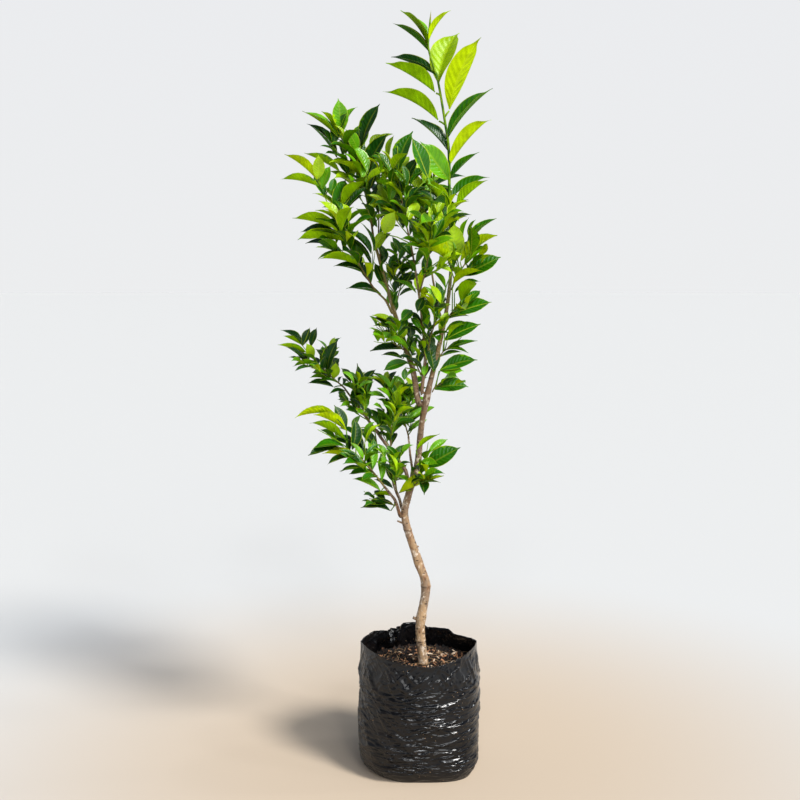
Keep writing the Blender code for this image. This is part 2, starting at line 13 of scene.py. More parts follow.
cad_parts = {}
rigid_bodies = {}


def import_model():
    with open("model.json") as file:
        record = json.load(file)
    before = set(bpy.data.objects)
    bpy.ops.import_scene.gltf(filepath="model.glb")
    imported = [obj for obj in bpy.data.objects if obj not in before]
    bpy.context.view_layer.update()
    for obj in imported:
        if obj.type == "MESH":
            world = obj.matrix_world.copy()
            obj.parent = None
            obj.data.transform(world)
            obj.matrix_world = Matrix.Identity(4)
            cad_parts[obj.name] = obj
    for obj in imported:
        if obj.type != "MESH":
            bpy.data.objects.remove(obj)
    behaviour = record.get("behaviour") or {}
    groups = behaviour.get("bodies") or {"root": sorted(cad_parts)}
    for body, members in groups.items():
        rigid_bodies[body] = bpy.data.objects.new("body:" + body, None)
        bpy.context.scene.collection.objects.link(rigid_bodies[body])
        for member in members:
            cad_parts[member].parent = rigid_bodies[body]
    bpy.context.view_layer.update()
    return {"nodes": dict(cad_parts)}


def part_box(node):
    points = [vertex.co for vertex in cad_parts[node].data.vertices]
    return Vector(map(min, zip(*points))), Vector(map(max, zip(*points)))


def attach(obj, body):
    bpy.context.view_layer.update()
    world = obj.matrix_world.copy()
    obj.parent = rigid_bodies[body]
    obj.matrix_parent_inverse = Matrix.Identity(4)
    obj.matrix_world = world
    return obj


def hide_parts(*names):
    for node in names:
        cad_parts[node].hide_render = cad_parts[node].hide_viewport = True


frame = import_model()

bpy.ops.object.select_all(action="DESELECT")

# ---------------------------------------------------------------- studio
# Not part of the sapling: a camera at a standing person's chest, a pale floor that runs out to a pale sky, a broad
# main lamp high on the right, a soft one in front, and a rail of small lamps, all far enough off to light evenly.

CAMERA_PLACE = (-0.0416, -2.2, 1.05)
CAMERA_DIP = 6.8  # degrees down from level
CAMERA_LENS = 47.7
FLOOR_RADIUS = 60
FLOOR_SIDES = 96
FLOOR_ROUGHNESS = 0.9
# The floor is warmer round the plant, like paving, and darker there, a painted shade that fades out like a vignette,
# as the radius and the colour.
FLOOR_COLOURS = ((0.25, (0.62, 0.50, 0.375)), (1.5, (0.686, 0.684, 0.668)))
# Sky colours from the horizon up, as the sine of the elevation and the colour.
SKY = (
    (0.0, (0.84, 0.85, 0.86)),
    (0.245, (0.83, 0.84, 0.86)),
    (0.33, (0.12, 0.13, 0.16)),
    (0.85, (0.22, 0.27, 0.36)),
)
# In front of the plant the surroundings are duller: how far round that begins and ends, and the share left there.
DULL_START, DULL_END, DULL_SHARE = 0.10, -0.45, 0.45
# The small lamps along the rail put bright glints on the film and the glossy leaves.
RAIL_WIDTH = 5
RAIL_COLOUR = (0.90, 0.95, 1.0)
# Each lamp as its name, the side it stands on, its power, how wide it looks in degrees and its colour.
LAMPS = (
    ("key_lamp", (0.56, -0.46, 0.69), 3.5, 16, (1.0, 0.98, 0.95)),
    ("front_lamp", (0.30, -0.86, 0.42), 0.9, 30, (1.0, 1.0, 1.0)),
    ("rail_lamp_1", (-0.14, -0.80, 0.56), 0.16, RAIL_WIDTH, RAIL_COLOUR),
    ("rail_lamp_2", (0.21, -0.80, 0.56), 0.22, RAIL_WIDTH, RAIL_COLOUR),
    ("rail_lamp_3", (0.48, -0.67, 0.56), 0.22, RAIL_WIDTH, RAIL_COLOUR),
    ("rail_lamp_4", (0.80, -0.25, 0.56), 0.22, RAIL_WIDTH, RAIL_COLOUR),
    ("rail_lamp_5", (0.82, 0.10, 0.56), 0.22, RAIL_WIDTH, RAIL_COLOUR),
)


def new_finish(name, roughness):
    """A Principled material. Returns it with its tree and its shader."""
    material = bpy.data.materials.new(name)
    material.use_nodes = True
    shader = material.node_tree.nodes["Principled BSDF"]
    shader.inputs["Roughness"].default_value = roughness
    return material, material.node_tree, shader


def ramp(tree, source, *stops):
    """Colours or greys over a value, as (position, colour) pairs."""
    node = tree.nodes.new("ShaderNodeValToRGB")
    elements = node.color_ramp.elements
    while len(elements) < len(stops):
        elements.new(0.5)
    for element, (position, colour) in zip(elements, stops):
        element.position = position
        element.color = (*colour, 1) if isinstance(colour, tuple) else (colour, colour, colour, 1)
    tree.links.new(source, node.inputs["Fac"])
    return node.outputs["Color"]


def span(tree, source, start, end, low=0.0, high=1.0):
    """A value that runs smoothly from low to high as its source runs from start to end."""
    node = tree.nodes.new("ShaderNodeMapRange")
    node.interpolation_type = "SMOOTHSTEP"
    for socket, value in (("From Min", start), ("From Max", end), ("To Min", low), ("To Max", high)):
        node.inputs[socket].default_value = value
    tree.links.new(source, node.inputs["Value"])
    return node.outputs["Result"]


def mixed(tree, share, under, over):
    """One colour laid over another by a share."""
    node = tree.nodes.new("ShaderNodeMix")
    node.data_type = "RGBA"
    tree.links.new(share, node.inputs["Factor"])
    for socket, value in ((node.inputs["A"], under), (node.inputs["B"], over)):
        if isinstance(value, tuple):
            socket.default_value = (*value, 1)
        else:
            tree.links.new(value, socket)
    return node.outputs["Result"]


def parts_of(tree, vector):
    """The X, Y and Z of a vector."""
    node = tree.nodes.new("ShaderNodeSeparateXYZ")
    tree.links.new(vector, node.inputs["Vector"])
    return node.outputs["X"], node.outputs["Y"], node.outputs["Z"]


camera = bpy.data.objects.new("camera", bpy.data.cameras.new("camera"))
bpy.context.scene.collection.objects.link(camera)
camera.location = CAMERA_PLACE
camera.rotation_euler = (math.radians(90 - CAMERA_DIP), 0, 0)
camera.data.lens = CAMERA_LENS
camera.data.clip_end = 2 * FLOOR_RADIUS
bpy.context.scene.camera = camera
bpy.context.scene.view_settings.view_transform = "Standard"

bpy.ops.mesh.primitive_circle_add(vertices=FLOOR_SIDES, radius=FLOOR_RADIUS, fill_type="NGON")
floor = bpy.context.object
floor.name = "floor"
floor_paint, tree, shader = new_finish("floor_paint", FLOOR_ROUGHNESS)
away = tree.nodes.new("ShaderNodeVectorMath")
away.operation = "LENGTH"
tree.links.new(tree.nodes.new("ShaderNodeTexCoord").outputs["Object"], away.inputs[0])
(near, near_colour_painted_shade), (far, far_colour) = FLOOR_COLOURS
# Nearer than the first radius the floor carries the painted shade as well as the paving's warmth.
paint = mixed(tree, span(tree, away.outputs["Value"], near, far), near_colour_painted_shade, far_colour)
tree.links.new(paint, shader.inputs["Base Color"])
floor.data.materials.append(floor_paint)

world = bpy.data.worlds.new("studio")
world.use_nodes = True
tree = world.node_tree
_, backward, upward = parts_of(tree, tree.nodes.new("ShaderNodeTexCoord").outputs["Generated"])
background = tree.nodes["Background"]
tree.links.new(ramp(tree, upward, *SKY), background.inputs["Color"])
tree.links.new(span(tree, backward, DULL_START, DULL_END, 1.0, DULL_SHARE), background.inputs["Strength"])
bpy.context.scene.world = world

for lamp_name, lamp_side, power, width, colour in LAMPS:
    lamp = bpy.data.objects.new(lamp_name, bpy.data.lights.new(lamp_name, "SUN"))
    bpy.context.scene.collection.objects.link(lamp)
    lamp.rotation_euler = Vector(lamp_side).to_track_quat("Z", "Y").to_euler()
    lamp.data.energy = power
    lamp.data.color = colour
    lamp.data.angle = math.radians(width)

# ---------------------------------------------------------------- grow bag
# A tube of thin black polythene film, sealed flat across its foot and stood open. The soil fills it out, and the
# slack film lies over it in level wrinkles, with a smoother collar above the soil and an uneven cut rim.

BAG_HEIGHT = 0.262
BAG_HALF_WIDTH = 0.1275
BAG_DEPTH_RATIO = 0.95
FOOT_TUCK = 0.0135
FOOT_ROUNDING = 0.040
FOOT_FLAT = 0.010
# The flat seal draws in the left front corner of the foot and leaves the right one standing out, as their angles,
# half widths and depths.
CORNER_TUCKS = ((-136, 34, 0.012), (-44, 26, -0.0015))
CORNER_HEIGHT = 0.052
FOOT_SQUARENESS = 1.3
SQUARENESS_FADE = 1.5
NECK_START = 0.190
NECK_TUCK = 0.006
# Slow waves of the rim, as how many go round it, their height and where they start.
RIM_WAVES = ((1, 0.0028, -1.20), (2, 0.0040, 1.52), (3, 0.0046, 2.93))
RIM_WAVE_FADE = 6
FILM_THICKNESS = 0.0006
# Columns and rows of the film's grid. Its inner face ends at a floor hidden in the soil.
FILM_COLUMNS = 320
FOOT_ROWS = 5
WALL_ROWS = 268
INNER_ROWS = 24
INNER_FLOOR = 0.176
# Broad dents, short crinkles, and the most that all folds together may stand proud.
DENT_DEPTH = 0.0034
CRINKLE_DEPTH = 0.0004
FOLD_LIMIT = 0.0048
# A level fold slopes down to its lip over the first share of its width and tucks back under it over the second.
FOLD_SLOPE = 2.5
FOLD_TUCK = 0.55
FOLD_FLANK = 1.15
FOLD_SWAY = 0.0012
FOLD_SWAY_LENGTH = 0.009
COLLAR_START = 0.200
COLLAR_FADE = 0.03
# Sharp upright folds where the film was pressed flat, each as its angle and height of ridge.
FLAT_FOLDS = ((4, 0.0030), (183, 0.0034))
FLAT_FOLD_HALF = 0.006
# The back left of the rim has slumped inward, as its angle, half width and depth, and is crumpled there.
SLUMP = (128, 26, 0.016)
SLUMP_CRUMPLE = 0.6
# A torn step that stands up from the rim at the back, as its two angles and its height.
TORN_STEP = (80, 113, 0.005)
# Kinks of the cut rim, as angles and heights in millimetres, with straight edges between them.
RIM_KINKS = (
    (-180, 0.0),
    (-158, 0.8),
    (-139, -0.6),
    (-118, -1.6),
    (-97, 0.4),
    (-72, -1.2),
    (-47, -1.2),
    (-31, 0.6),
    (-8, 0.0),
    (10, 0.0),
    (34, -4.6),
    (49, -5.6),
    (56, 3.6),
    (69, -0.6),
    (80, -4.6),
    (92, 0.0),
    (103, 0.4),
    (114, 3.6),
    (126, 3.0),
    (138, 6.6),
    (149, 7.4),
    (156, 2.4),
    (180, 0.0),
)
# Kinds of fold in the film: how many, angles and heights between which they lie, half length, half width, height of
# ridge, slope from level in degrees, and how much they curve up at both ends.
FOLDS = (
    (104, (-116, -14), (0.016, 0.198), (0.020, 0.062), (0.0012, 0.0021), (0.0016, 0.0030), (-6, 9), (1.5, 4.0)),
    (26, (-104, -30), (0.030, 0.180), (0.010, 0.026), (0.0013, 0.0020), (0.0011, 0.0022), (-24, 24), (-2.0, 3.0)),
    (130, (-20, 250), (0.022, 0.196), (0.012, 0.046), (0.0017, 0.0030), (0.0014, 0.0032), (-11, 11), (0.0, 3.0)),
    (40, (-178, -100), (0.020, 0.190), (0.012, 0.034), (0.0018, 0.0034), (0.0010, 0.0024), (-42, 30), (-2.0, 3.0)),
    (26, (-180, -96), (0.060, 0.225), (0.022, 0.055), (0.0030, 0.0055), (0.0020, 0.0040), (-66, -32), (-2.0, 2.0)),
    (16, (-122, -30), (0.196, 0.236), (0.014, 0.030), (0.0032, 0.0052), (0.0026, 0.0042), (-76, -38), (-3.0, 3.0)),
    (50, (-180, 180), (0.205, 0.250), (0.012, 0.030), (0.0018, 0.0040), (0.0012, 0.0026), (62, 118), (-2.0, 2.0)),
    (30, (-180, 180), (0.180, 0.235), (0.012, 0.034), (0.0016, 0.0030), (0.0010, 0.0022), (22, 60), (-3.0, 3.0)),
    (24, (-158, -118), (0.004, 0.040), (0.010, 0.024), (0.0014, 0.0026), (0.0008, 0.0018), (-50, 10), (-4.0, 4.0)),
    (24, (-62, -22), (0.004, 0.044), (0.010, 0.024), (0.0014, 0.0026), (0.0008, 0.0018), (-5, 48), (-4.0, 4.0)),
    (40, (20, 200), (0.004, 0.044), (0.010, 0.024), (0.0014, 0.0026), (0.0008, 0.0018), (-45, 45), (-4.0, 4.0)),
    (18, (-180, 180), (0.030, 0.230), (0.020, 0.050), (0.0008, 0.0012), (-0.0011, -0.0006), (-75, 75), (-1.0, 1.0)),
)


def smoothstep(value):
    value = np.clip(value, 0.0, 1.0)
    return value * value * (3 - 2 * value)


def noise_at(x, y, z):
    """Smooth noise between -1 and 1 at arrays of places."""
    spots = np.stack(np.broadcast_arrays(x, y, z), -1)
    return np.array([noise.noise(spot) for spot in spots.reshape(-1, 3).tolist()]).reshape(spots.shape[:-1])


def bag_reach(angle, height):
    """How far the smooth outline of the filled bag stands from its middle."""
    share = np.clip(height / BAG_HEIGHT, 0, 1)
    tuck = FOOT_TUCK * np.clip(1 - height / FOOT_ROUNDING, 0, 1) ** 2
    for corner, half, depth in CORNER_TUCKS:
        apart = np.abs(angle - math.radians(corner)) / math.radians(half)
        tuck = tuck + depth * smoothstep(1 - apart) * np.clip(1 - height / CORNER_HEIGHT, 0, 1) ** 1.5
    neck = NECK_TUCK * smoothstep((height - NECK_START) / (BAG_HEIGHT - NECK_START))
    power = 2 + FOOT_SQUARENESS * (1 - share) ** SQUARENESS_FADE
    reach = (np.abs(np.cos(angle)) ** power + np.abs(np.sin(angle)) ** power) ** (-1 / power)
    return reach * (BAG_HALF_WIDTH - tuck - neck)


def rim_height(angle):
    """Height of the cut rim."""
    waves = sum(high * np.sin(count * angle + start) for count, high, start in RIM_WAVES)
    low, high, step = math.radians(TORN_STEP[0]), math.radians(TORN_STEP[1]), TORN_STEP[2]
    torn = step * smoothstep((angle - low) / 0.10) * smoothstep((high - angle) / 0.05)
    kinks = np.interp(np.degrees(angle), *zip(*RIM_KINKS)) / 1000
    ragged = 0.0015 * noise_at(2.4 * np.cos(angle), 2.4 * np.sin(angle), 0.5)
    ragged += 0.0008 * noise_at(11 * np.cos(angle), 11 * np.sin(angle), 3.5)
    return BAG_HEIGHT + waves + torn + kinks + ragged


def draw_folds():
    """Every fold of the film, drawn by a seeded rule from the kinds above."""
    draw = random.Random("film folds")
    folds = []
    for count, *ranges in FOLDS:
        for _ in range(count):
            angle, height, half, width, rise, slope, curve = (draw.uniform(*span) for span in ranges)
            folds.append((math.radians(angle), height, half, width, rise, math.radians(slope), curve, draw.random()))
    return folds


def fold_relief(angle, height):
    """Ridges of all the folds at arrays of angles and heights."""
    relief = np.zeros_like(height)
    for middle, level, half, width, rise, slope, curve, phase in film_folds:
        apart = (angle - middle + math.pi) % math.tau - math.pi
        u, v = apart * BAG_HALF_WIDTH, height - level
        near = (np.abs(u) < half + 0.01) & (np.abs(v) < half + 0.01)
        if not near.any():
            continue
        u, v = u[near], v[near]
        onward = u * math.cos(slope) + v * math.sin(slope)
        beside = v * math.cos(slope) - u * math.sin(slope)
        beside = beside - curve * onward**2 - FOLD_SWAY * np.sin(onward / FOLD_SWAY_LENGTH + math.tau * phase)
        above = np.clip(1 - beside / (FOLD_SLOPE * width), 0, 1) ** FOLD_FLANK
        shape = np.where(beside > 0, above, np.exp(-((beside / (FOLD_TUCK * width)) ** 2)))
        relief[near] += rise * shape * np.clip(1 - (onward / half) ** 2, 0, 1) ** 0.7
    return FOLD_LIMIT * np.tanh(relief / FOLD_LIMIT)


def film_places(angle, height, inset=0.0):
    """Points of the film at arrays of angles and heights. inset is how far inside its outer face they lie."""
    x, y = np.cos(angle), np.sin(angle)
    foot = 1 - smoothstep(height / FOOT_FLAT)
    bulge = DENT_DEPTH * noise_at(1.25 * x, 1.25 * y, 9 * height)
    warp = 0.010 * noise_at(1.9 * x + 4, 1.9 * y, 15 * height)
    crinkle = np.clip(1 - 2.6 * np.abs(noise_at(4.4 * x + 2, 4.4 * y, 150 * (height + warp))), 0, 1) ** 1.4
    filled = 1 - 0.7 * smoothstep((height - COLLAR_START + 0.022) / COLLAR_FADE)
    bulge = bulge + CRINKLE_DEPTH * crinkle * filled + fold_relief(angle, height)
    bulge = bulge * (1 - foot)
    for fold_angle, ridge in FLAT_FOLDS:
        apart = np.abs((angle - math.radians(fold_angle) + math.pi) % math.tau - math.pi) * BAG_HALF_WIDTH
        bulge = bulge + ridge * np.exp(-apart / FLAT_FOLD_HALF) * smoothstep((height - 0.14) / 0.11)
    middle, half, depth = math.radians(SLUMP[0]), math.radians(SLUMP[1]), SLUMP[2]
    slump = smoothstep((height - COLLAR_START - 0.006) / COLLAR_FADE)
    slump = slump * smoothstep(1.6 * (1 - np.abs(angle - middle) / half))
    crumple = 1.1 - 3.2 * np.abs(noise_at(7 * angle, 30 * height, 1.5))
    crumple = crumple - 1.2 * np.abs(noise_at(20 * angle, 3.0, 60 * height))
    reach = bag_reach(angle, height) + bulge - depth * slump * (1 + SLUMP_CRUMPLE * crumple) - inset
    return np.stack([x * reach, y * reach * BAG_DEPTH_RATIO, height], -1)


def film_grid():
    """Points of the whole film by column and row: foot, outer wall, inner wall, and a floor hidden in the soil."""
    angle = np.linspace(-math.pi, math.pi, FILM_COLUMNS + 1)
    angle[-1] = angle[0]
    rim = rim_height(angle)
    foot = film_places(angle, np.zeros_like(angle))
    rows = [foot * row / FOOT_ROWS for row in range(FOOT_ROWS)]
    share = np.linspace(0, 1, WALL_ROWS + 1)[:, None]
    height = BAG_HEIGHT * share + (rim - BAG_HEIGHT) * share**RIM_WAVE_FADE
    rows += list(film_places(np.broadcast_to(angle, height.shape), height))
    share = np.linspace(0, 1, INNER_ROWS + 1)[1:, None]
    height = rim * (1 - share) + INNER_FLOOR * share
    rows += list(film_places(np.broadcast_to(angle, height.shape), height, FILM_THICKNESS))
    rows.append(rows[-1] * (0, 0, 1))
    return np.stack(rows, 1)


def rolled_sheet(name, places):
    """A grid rolled into a closed form, its vertices placed by column and row, and its seam and poles merged."""
    columns, rows = places.shape[0] - 1, places.shape[1] - 1
    bpy.ops.object.select_all(action="DESELECT")
    bpy.ops.mesh.primitive_grid_add(x_subdivisions=columns, y_subdivisions=rows, size=2)
    sheet = bpy.context.object
    sheet.name = name
    for vert in sheet.data.vertices:
        column = round((vert.co.x + 1) / 2 * columns)
        row = round((vert.co.y + 1) / 2 * rows)
        vert.co = places[column, row]
    bpy.ops.object.mode_set(mode="EDIT")
    bpy.ops.mesh.select_all(action="SELECT")
    bpy.ops.mesh.remove_doubles(threshold=0.00001)
    bpy.ops.mesh.normals_make_consistent(inside=False)
    bpy.ops.object.mode_set(mode="OBJECT")
    bpy.ops.object.shade_smooth()
    return sheet


def object_place(tree, stretch=(1, 1, 1)):
    """Object coordinates, stretched along each axis."""
    place = tree.nodes.new("ShaderNodeTexCoord")
    mapping = tree.nodes.new("ShaderNodeMapping")
    mapping.inputs["Scale"].default_value = stretch
    tree.links.new(place.outputs["Object"], mapping.inputs["Vector"])
    return mapping.outputs["Vector"]


def cloud(tree, scale, stretch=(1, 1, 1), detail=5, roughness=0.55):
    """Soft noise over the piece."""
    node = tree.nodes.new("ShaderNodeTexNoise")
    node.inputs["Scale"].default_value = scale
    node.inputs["Detail"].default_value = detail
    node.inputs["Roughness"].default_value = roughness
    tree.links.new(object_place(tree, stretch), node.inputs["Vector"])
    return node.outputs["Fac"]


def cells(tree, scale, stretch=(1, 1, 1)):
    """Distance to the nearest of many scattered points."""
    node = tree.nodes.new("ShaderNodeTexVoronoi")
    node.inputs["Scale"].default_value = scale
    tree.links.new(object_place(tree, stretch), node.inputs["Vector"])
    return node.outputs["Distance"]


def creases(tree, scale, stretch, tilt, half):
    """Thin raised lines that wander along one direction, tilted in degrees, and their half width as a share."""
    place = tree.nodes.new("ShaderNodeTexCoord")
    turn = tree.nodes.new("ShaderNodeMapping")
    turn.vector_type = "TEXTURE"
    turn.inputs["Rotation"].default_value = (0, math.radians(tilt), 0)
    turn.inputs["Scale"].default_value = tuple(1 / part for part in stretch)
    tree.links.new(place.outputs["Object"], turn.inputs["Vector"])
    node = tree.nodes.new("ShaderNodeTexNoise")
    node.inputs["Scale"].default_value = scale
    node.inputs["Detail"].default_value = 2
    node.inputs["Distortion"].default_value = 0.3
    tree.links.new(turn.outputs["Vector"], node.inputs["Vector"])
    return ramp(tree, node.outputs["Fac"], (0.5 - half, 0.0), (0.5, 1.0), (0.5 + half, 0.0))


def combined(tree, operation, a, b):
    """Two values by a sum, product or other operation."""
    node = tree.nodes.new("ShaderNodeMath")
    node.operation = operation
    for socket, value in zip(node.inputs, (a, b)):
        if isinstance(value, (int, float)):
            socket.default_value = value
        else:
            tree.links.new(value, socket)
    return node.outputs["Value"]


def times(tree, a, b):
    return combined(tree, "MULTIPLY", a, b)


def plus(tree, a, b):
    return combined(tree, "ADD", a, b)


def bump(tree, shader, source, distance, strength):
    """Relief too fine to model."""
    node = tree.nodes.new("ShaderNodeBump")
    node.inputs["Distance"].default_value = distance
    node.inputs["Strength"].default_value = strength
    tree.links.new(source, node.inputs["Height"])
    tree.links.new(node.outputs["Normal"], shader.inputs["Normal"])


FILM_BLACK = (0.0015, 0.0015, 0.002)
FILM_WORN = (0.004, 0.0045, 0.0060)
FILM_GLOSS = 0.36
FILM_DUST = (0.085, 0.064, 0.046)
SOIL_SPECK = (0.42, 0.27, 0.15)

film_finish, tree, shader = new_finish("bag_film", 0.3)
shader.inputs["Specular IOR Level"].default_value = FILM_GLOSS
across, _, height = parts_of(tree, object_place(tree))
left_side = span(tree, across, 0.0, -0.11)
collar = span(tree, height, 0.196, 0.212)
filled = combined(tree, "SUBTRACT", 1.0, collar)
smears = ramp(tree, cloud(tree, 20, (1, 1, 1.5), 8, 0.66), (0.44, 0.0), (0.74, 1.0))
dust = times(tree, plus(tree, times(tree, left_side, 0.16), 0.03), smears)
worn = ramp(tree, cloud(tree, 9, (1, 1, 2.5), 3), (0.35, FILM_BLACK), (0.75, FILM_WORN))
dusty = mixed(tree, dust, worn, FILM_DUST)
rare = ramp(tree, cloud(tree, 26, detail=3), (0.58, 0.0), (0.62, 1.0))
specks = times(tree, ramp(tree, cells(tree, 190), (0.08, 1.0), (0.16, 0.0)), rare)
tree.links.new(mixed(tree, specks, dusty, SOIL_SPECK), shader.inputs["Base Color"])
matt = plus(tree, times(tree, left_side, 0.16), 0.09)
matt = plus(tree, matt, times(tree, dust, 0.4))
matt = plus(tree, matt, times(tree, cloud(tree, 60, detail=2), 0.10))
tree.links.new(matt, shader.inputs["Roughness"])
# Fine creases run level over the filled part, slant on its left, and are drawn up and over on the collar.
level = creases(tree, 8, (1, 1, 5.5), 0, 0.085)
finer = creases(tree, 15, (1, 1, 4.5), 6, 0.090)
slanted = creases(tree, 13, (1, 1, 3.5), 52, 0.045)
drawn_up = creases(tree, 14, (1, 1, 2.4), -42, 0.080)
relief = plus(tree, level, times(tree, finer, 0.45))
relief = times(tree, relief, filled)
slanted = times(tree, slanted, times(tree, left_side, 0.6))
relief = plus(tree, relief, slanted)
upright = creases(tree, 19, (1, 1, 1.2), -66, 0.075)
drawn_up = plus(tree, drawn_up, times(tree, upright, 0.7))
drawn_up = times(tree, drawn_up, times(tree, collar, 1.3))
relief = plus(tree, relief, drawn_up)
relief = plus(tree, relief, times(tree, cloud(tree, 200, (1, 1, 2.2), 3, 0.5), 0.07))
bump(tree, shader, relief, 0.0010, 1.0)

film_folds = draw_folds()
bag_film = rolled_sheet("bag_film", film_grid())
bag_film.data.materials.append(film_finish)
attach(bag_film, "root")
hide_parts("nursery_bag")

# ---------------------------------------------------------------- soil
# Loose potting soil of composted bark and coir, which fills the bag to a few centimetres under its rim. Crumbs,
# hollows and a slight mound round the trunk show on top, and the rest is a plain lump inside the film.

# Heights of the soil's top and of its lump's hidden underside, and how far its lumps and crumbs stand up.
SOIL_TOP = 0.215
SOIL_UNDER = 0.185
SOIL_LUMP = 0.0060
SOIL_CRUMB = 0.0075
SOIL_COLUMNS = 260
SOIL_RINGS = 78
SOIL_EDGE_GAP = 0.0014
TRUNK_FOOT = Vector((0.008, 0.000, 0.2153))


def soil_height(x, y):
    """Height of the soil at arrays of places in plan, level where the trunk stands."""
    away = np.hypot(x - TRUNK_FOOT.x, y - TRUNK_FOOT.y)
    lumps = noise_at(22 * x, 22 * y, 0.3) + 0.6 * noise_at(58 * x, 58 * y, 2.0)
    crumbs = 1.4 * np.abs(noise_at(120 * x, 120 * y, 4.0)) + 0.7 * noise_at(300 * x, 300 * y, 5.0) - 0.4
    calm = smoothstep((away - 0.011) / 0.02)
    mound = 0.003 * np.exp(-((away / 0.04) ** 2))
    return SOIL_TOP + (mound + SOIL_LUMP * lumps + SOIL_CRUMB * crumbs) * calm


def soil_grid():
    """Points of the soil by column and row: under face, edge, then the top from its edge to its middle."""
    angle = np.linspace(-math.pi, math.pi, SOIL_COLUMNS + 1)
    angle[-1] = angle[0]
    low = film_places(angle, np.full_like(angle, SOIL_UNDER), FILM_THICKNESS + 3 * SOIL_EDGE_GAP)
    edge = film_places(angle, np.full_like(angle, SOIL_TOP), FILM_THICKNESS + SOIL_EDGE_GAP)
    rows = [low * (0, 0, 1), low]
    for ring in range(SOIL_RINGS + 1):
        top = edge * (1 - ring / SOIL_RINGS)
        top[:, 2] = soil_height(top[:, 0], top[:, 1])
        rows.append(top)
    return np.stack(rows, 1)


# The black is partly dark moist soil and partly painted shade in the gaps between crumbs.
SOIL_BLACK_AND_GAP_SHADE = (0.002, 0.0015, 0.0012)
SOIL_BROWN = (0.022, 0.010, 0.005)
SOIL_WARM = (0.340, 0.150, 0.075)

soil_finish, tree, shader = new_finish("potting_soil", 0.95)
grains = cloud(tree, 170, detail=8, roughness=0.7)
# The blackest patches paint the shade of gaps between crumbs over the soil's own dark brown.
grains = ramp(tree, grains, (0.48, SOIL_BLACK_AND_GAP_SHADE), (0.57, SOIL_BROWN), (0.68, SOIL_WARM))
tree.links.new(grains, shader.inputs["Base Color"])
bump(tree, shader, cloud(tree, 420, detail=6, roughness=0.7), 0.0040, 1.0)

soil_top = rolled_sheet("soil_top", soil_grid())
soil_top.data.materials.append(soil_finish)
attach(soil_top, "root")
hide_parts("soil")

# ---------------------------------------------------------------- chips and fibres
# Flakes of bark and short coir fibres lie loose over the soil at all angles, in three shades from dark brown to
# pale straw. Each flake is a tapered, slightly bent sliver, and each fibre a thin curved thread.

# Kinds of chip as their name, how many and their colour.
CHIPS = (
    ("dark_chips", 260, (0.018, 0.008, 0.005)),
    ("tan_chips", 200, (0.52, 0.245, 0.115)),
    ("pale_chips", 60, (0.80, 0.60, 0.42)),
)
CHIP_LENGTH = (0.004, 0.016)
CHIP_SLENDERNESS = (0.22, 0.5)
CHIP_THICKNESS = (0.0006, 0.0018)
CHIP_TILT = 0.55
FIBRE_TILT = 0.22
FIBRE_COUNT = 120
FIBRE_LENGTH = (0.012, 0.034)
FIBRE_RADIUS = 0.00045
FIBRE_STRAW = (0.42, 0.26, 0.13)
LITTER_RADIUS = 0.107
LITTER_LIFT = 0.0004
TRUNK_CLEARANCE = 0.019
LITTER_SHADE = 0.55
LITTER_MOTTLE = 130


class Heap:
    """Many small meshes of four-sided faces, gathered into one piece. spots place them on a finish's flat pattern."""

    def __init__(self):
        self.points = []
        self.faces = []
        self.spots = []
        self.count = 0

    def add(self, points, faces, spots=None):
        self.points.append(points)
        self.faces.append(faces + self.count)
        self.count += len(points)
        if spots is not None:
            self.spots.append(spots[faces].reshape(-1, 2))

    def piece(self, name, material, slot, *nodes):
        """Makes the piece and hangs it on the sapling."""
        mesh = bpy.data.meshes.new(name)
        mesh.from_pydata(np.concatenate(self.points).tolist(), [], np.concatenate(self.faces).tolist())
        mesh.shade_smooth()
        if self.spots:
            mesh.uv_layers.new(name="pattern").data.foreach_set("uv", np.concatenate(self.spots).ravel())
        made = bpy.data.objects.new(name, mesh)
        bpy.context.scene.collection.objects.link(made)
        mesh.materials.append(material)
        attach(made, "root")
        if nodes:
            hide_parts(*nodes)
        return made


def tube_faces(rings, sides):
    """Faces of a tube of rings, with its two ends closed by folding the last ring together."""
    ring, side = np.meshgrid(np.arange(rings - 1), np.arange(sides), indexing="ij")
    a = ring * sides + side
    b = ring * sides + (side + 1) % sides
    return np.stack([a, b, b + sides, a + sides], -1).reshape(-1, 4)


def square_to(way, side):
    """The part of a direction that stands square to a way, at full length."""
    return (side - way * side.dot(way)).normalized()


def tube_points(path, sides, relief=None):
    """Rings of points round a path of (place, radius), turned as little as possible from ring to ring."""
    places = [Vector(place) for place, _ in path]
    onward = (places[1] - places[0]).normalized()
    side = onward.cross(Vector((0, 0, 1)))
    side = side.normalized() if side.length > 0.05 else Vector((1, 0, 0))
    side = square_to(onward, side)
    rings = []
    for i, (place, radius) in enumerate(path):
        way = places[min(i + 1, len(places) - 1)] - places[max(i - 1, 0)]
        way.normalize()
        side = square_to(way, side)
        other = way.cross(side)
        for j in range(sides):
            angle = math.tau * j / sides
            out = side * math.cos(angle) + other * math.sin(angle)
            reach = radius + (relief(place, out) if relief else 0.0)
            rings.append(places[i] + out * reach)
    return np.array(rings)


def closed_tube(path, sides, relief=None):
    """A tube whose ends are closed by a last ring of no width."""
    first, last = path[0], path[-1]
    return tube_points([(first[0], 0.0), *path, (last[0], 0.0)], sides, relief), tube_faces(len(path) + 2, sides)


